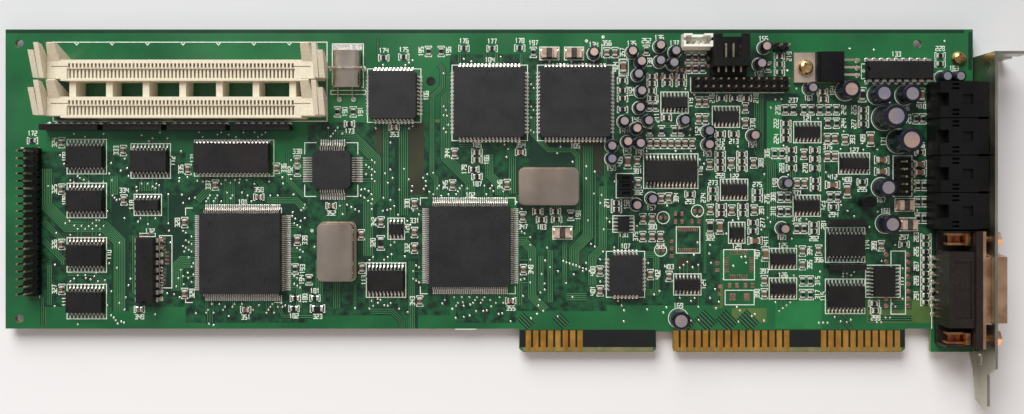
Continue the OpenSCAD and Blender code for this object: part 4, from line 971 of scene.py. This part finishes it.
def make_stage():
    """A plain pale floor that the card lies on, with painted shade: a little darker towards the top of the
    picture.
    """
    shade_margin = 0.03
    floor_shape = bmesh.new()
    bmesh.ops.create_grid(floor_shape, x_segments=1, y_segments=1, size=FLOOR_HALF)
    mesh = bpy.data.meshes.new("floor")
    floor_shape.to_mesh(mesh)
    floor_shape.free()
    paper, nodes, links, shader = finish("pale_paper", (220, 222, 224), 0.9)
    where = nodes.new("ShaderNodeTexCoord")
    split = nodes.new("ShaderNodeSeparateXYZ")
    spread = nodes.new("ShaderNodeMapRange")
    spread.inputs["From Min"].default_value = cad_box[0][1] - shade_margin
    spread.inputs["From Max"].default_value = cad_box[1][1] + shade_margin
    links.new(where.outputs["Object"], split.inputs["Vector"])
    links.new(split.outputs["Y"], spread.inputs["Value"])
    # Painted shade: the floor runs from lighter at the bottom of the picture to darker at the top.
    near, far = (236, 237, 238), (202, 204, 206)
    shade = blend_colours(nodes, links, spread.outputs["Result"], near, far, 0.0, 1.0)
    links.new(shade, shader.inputs["Base Color"])
    mesh.materials.append(paper)
    floor = bpy.data.objects.new("floor", mesh)
    floor.location.z = cad_box[0][2] - FLOOR_GAP
    bpy.context.scene.collection.objects.link(floor)


def add_lamp(name, position, size, power, colour=(1, 1, 1)):
    """A square soft lamp that faces the middle of the card."""
    lamp = bpy.data.lights.new(name, "AREA")
    lamp.size = size
    lamp.energy = power
    lamp.color = colour
    holder = bpy.data.objects.new(name, lamp)
    holder.location = position
    holder.rotation_euler = (-Vector(position)).to_track_quat("-Z", "Y").to_euler()
    bpy.context.scene.collection.objects.link(holder)


def light_scene():
    """An even cool light all round, a large window lamp behind and a faint warm lamp in front."""
    world = bpy.data.worlds.new("room")
    bpy.context.scene.world = world
    world.use_nodes = True
    background = world.node_tree.nodes["Background"]
    background.inputs["Color"].default_value = (0.93, 0.96, 1.0, 1)
    background.inputs["Strength"].default_value = 0.31
    add_lamp("window", (-0.3, 0.9, 0.7), 0.8, 20, (1.0, 0.99, 0.97))
    add_lamp("bounce", (0.2, -0.9, 0.4), 0.9, 4, (1.0, 0.62, 0.44))


def add_camera():
    """Looks straight down from where the photograph was taken, to the right of the card's middle."""
    eye_x, eye_y, eye_height = 186.4, 52.4, 310.0
    # Pixels in a millimetre of the board, the frame's pixels, and the pixel that lies under the eye
    scale = 2.905
    frame_w, frame_h = 1024, 414
    axis_px, axis_py = 547.0, 181.6
    camera = bpy.data.cameras.new("camera")
    camera.sensor_width = 36
    camera.lens = scale * eye_height / frame_w * camera.sensor_width
    camera.shift_x = (frame_w / 2 - axis_px) / frame_w
    camera.shift_y = (axis_py - frame_h / 2) / frame_w
    camera.clip_start = 0.01
    holder = bpy.data.objects.new("camera", camera)
    holder.location = place(eye_x, eye_y, eye_height)
    bpy.context.scene.collection.objects.link(holder)
    bpy.context.scene.camera = holder


dress_nodes()
take_nodes()
gull_feet, curl_feet = lead_feet(), curled_feet()
make_pads(gull_feet, curl_feet)
make_inductor_ends()
make_pin_joints(pin_places())

copper, ink = Copper(), Ink()
lay_board(copper, ink)
ink_round_parts(ink)
number_parts(ink)
fan_out(copper, gull_feet, 0.5, (1.2, 2.2, 3.2, 4.2))
fan_out(copper, curl_feet, 0.4, (1.2, 2.0, 2.8))
scatter_vias(copper, (14, 42, 205, 101), 260)
scatter_vias(copper, (205, 14, 318, 101), 300)
copper.build()
ink.build()

make_stage()
light_scene()
add_camera()
bpy.context.scene.view_settings.view_transform = "Standard"
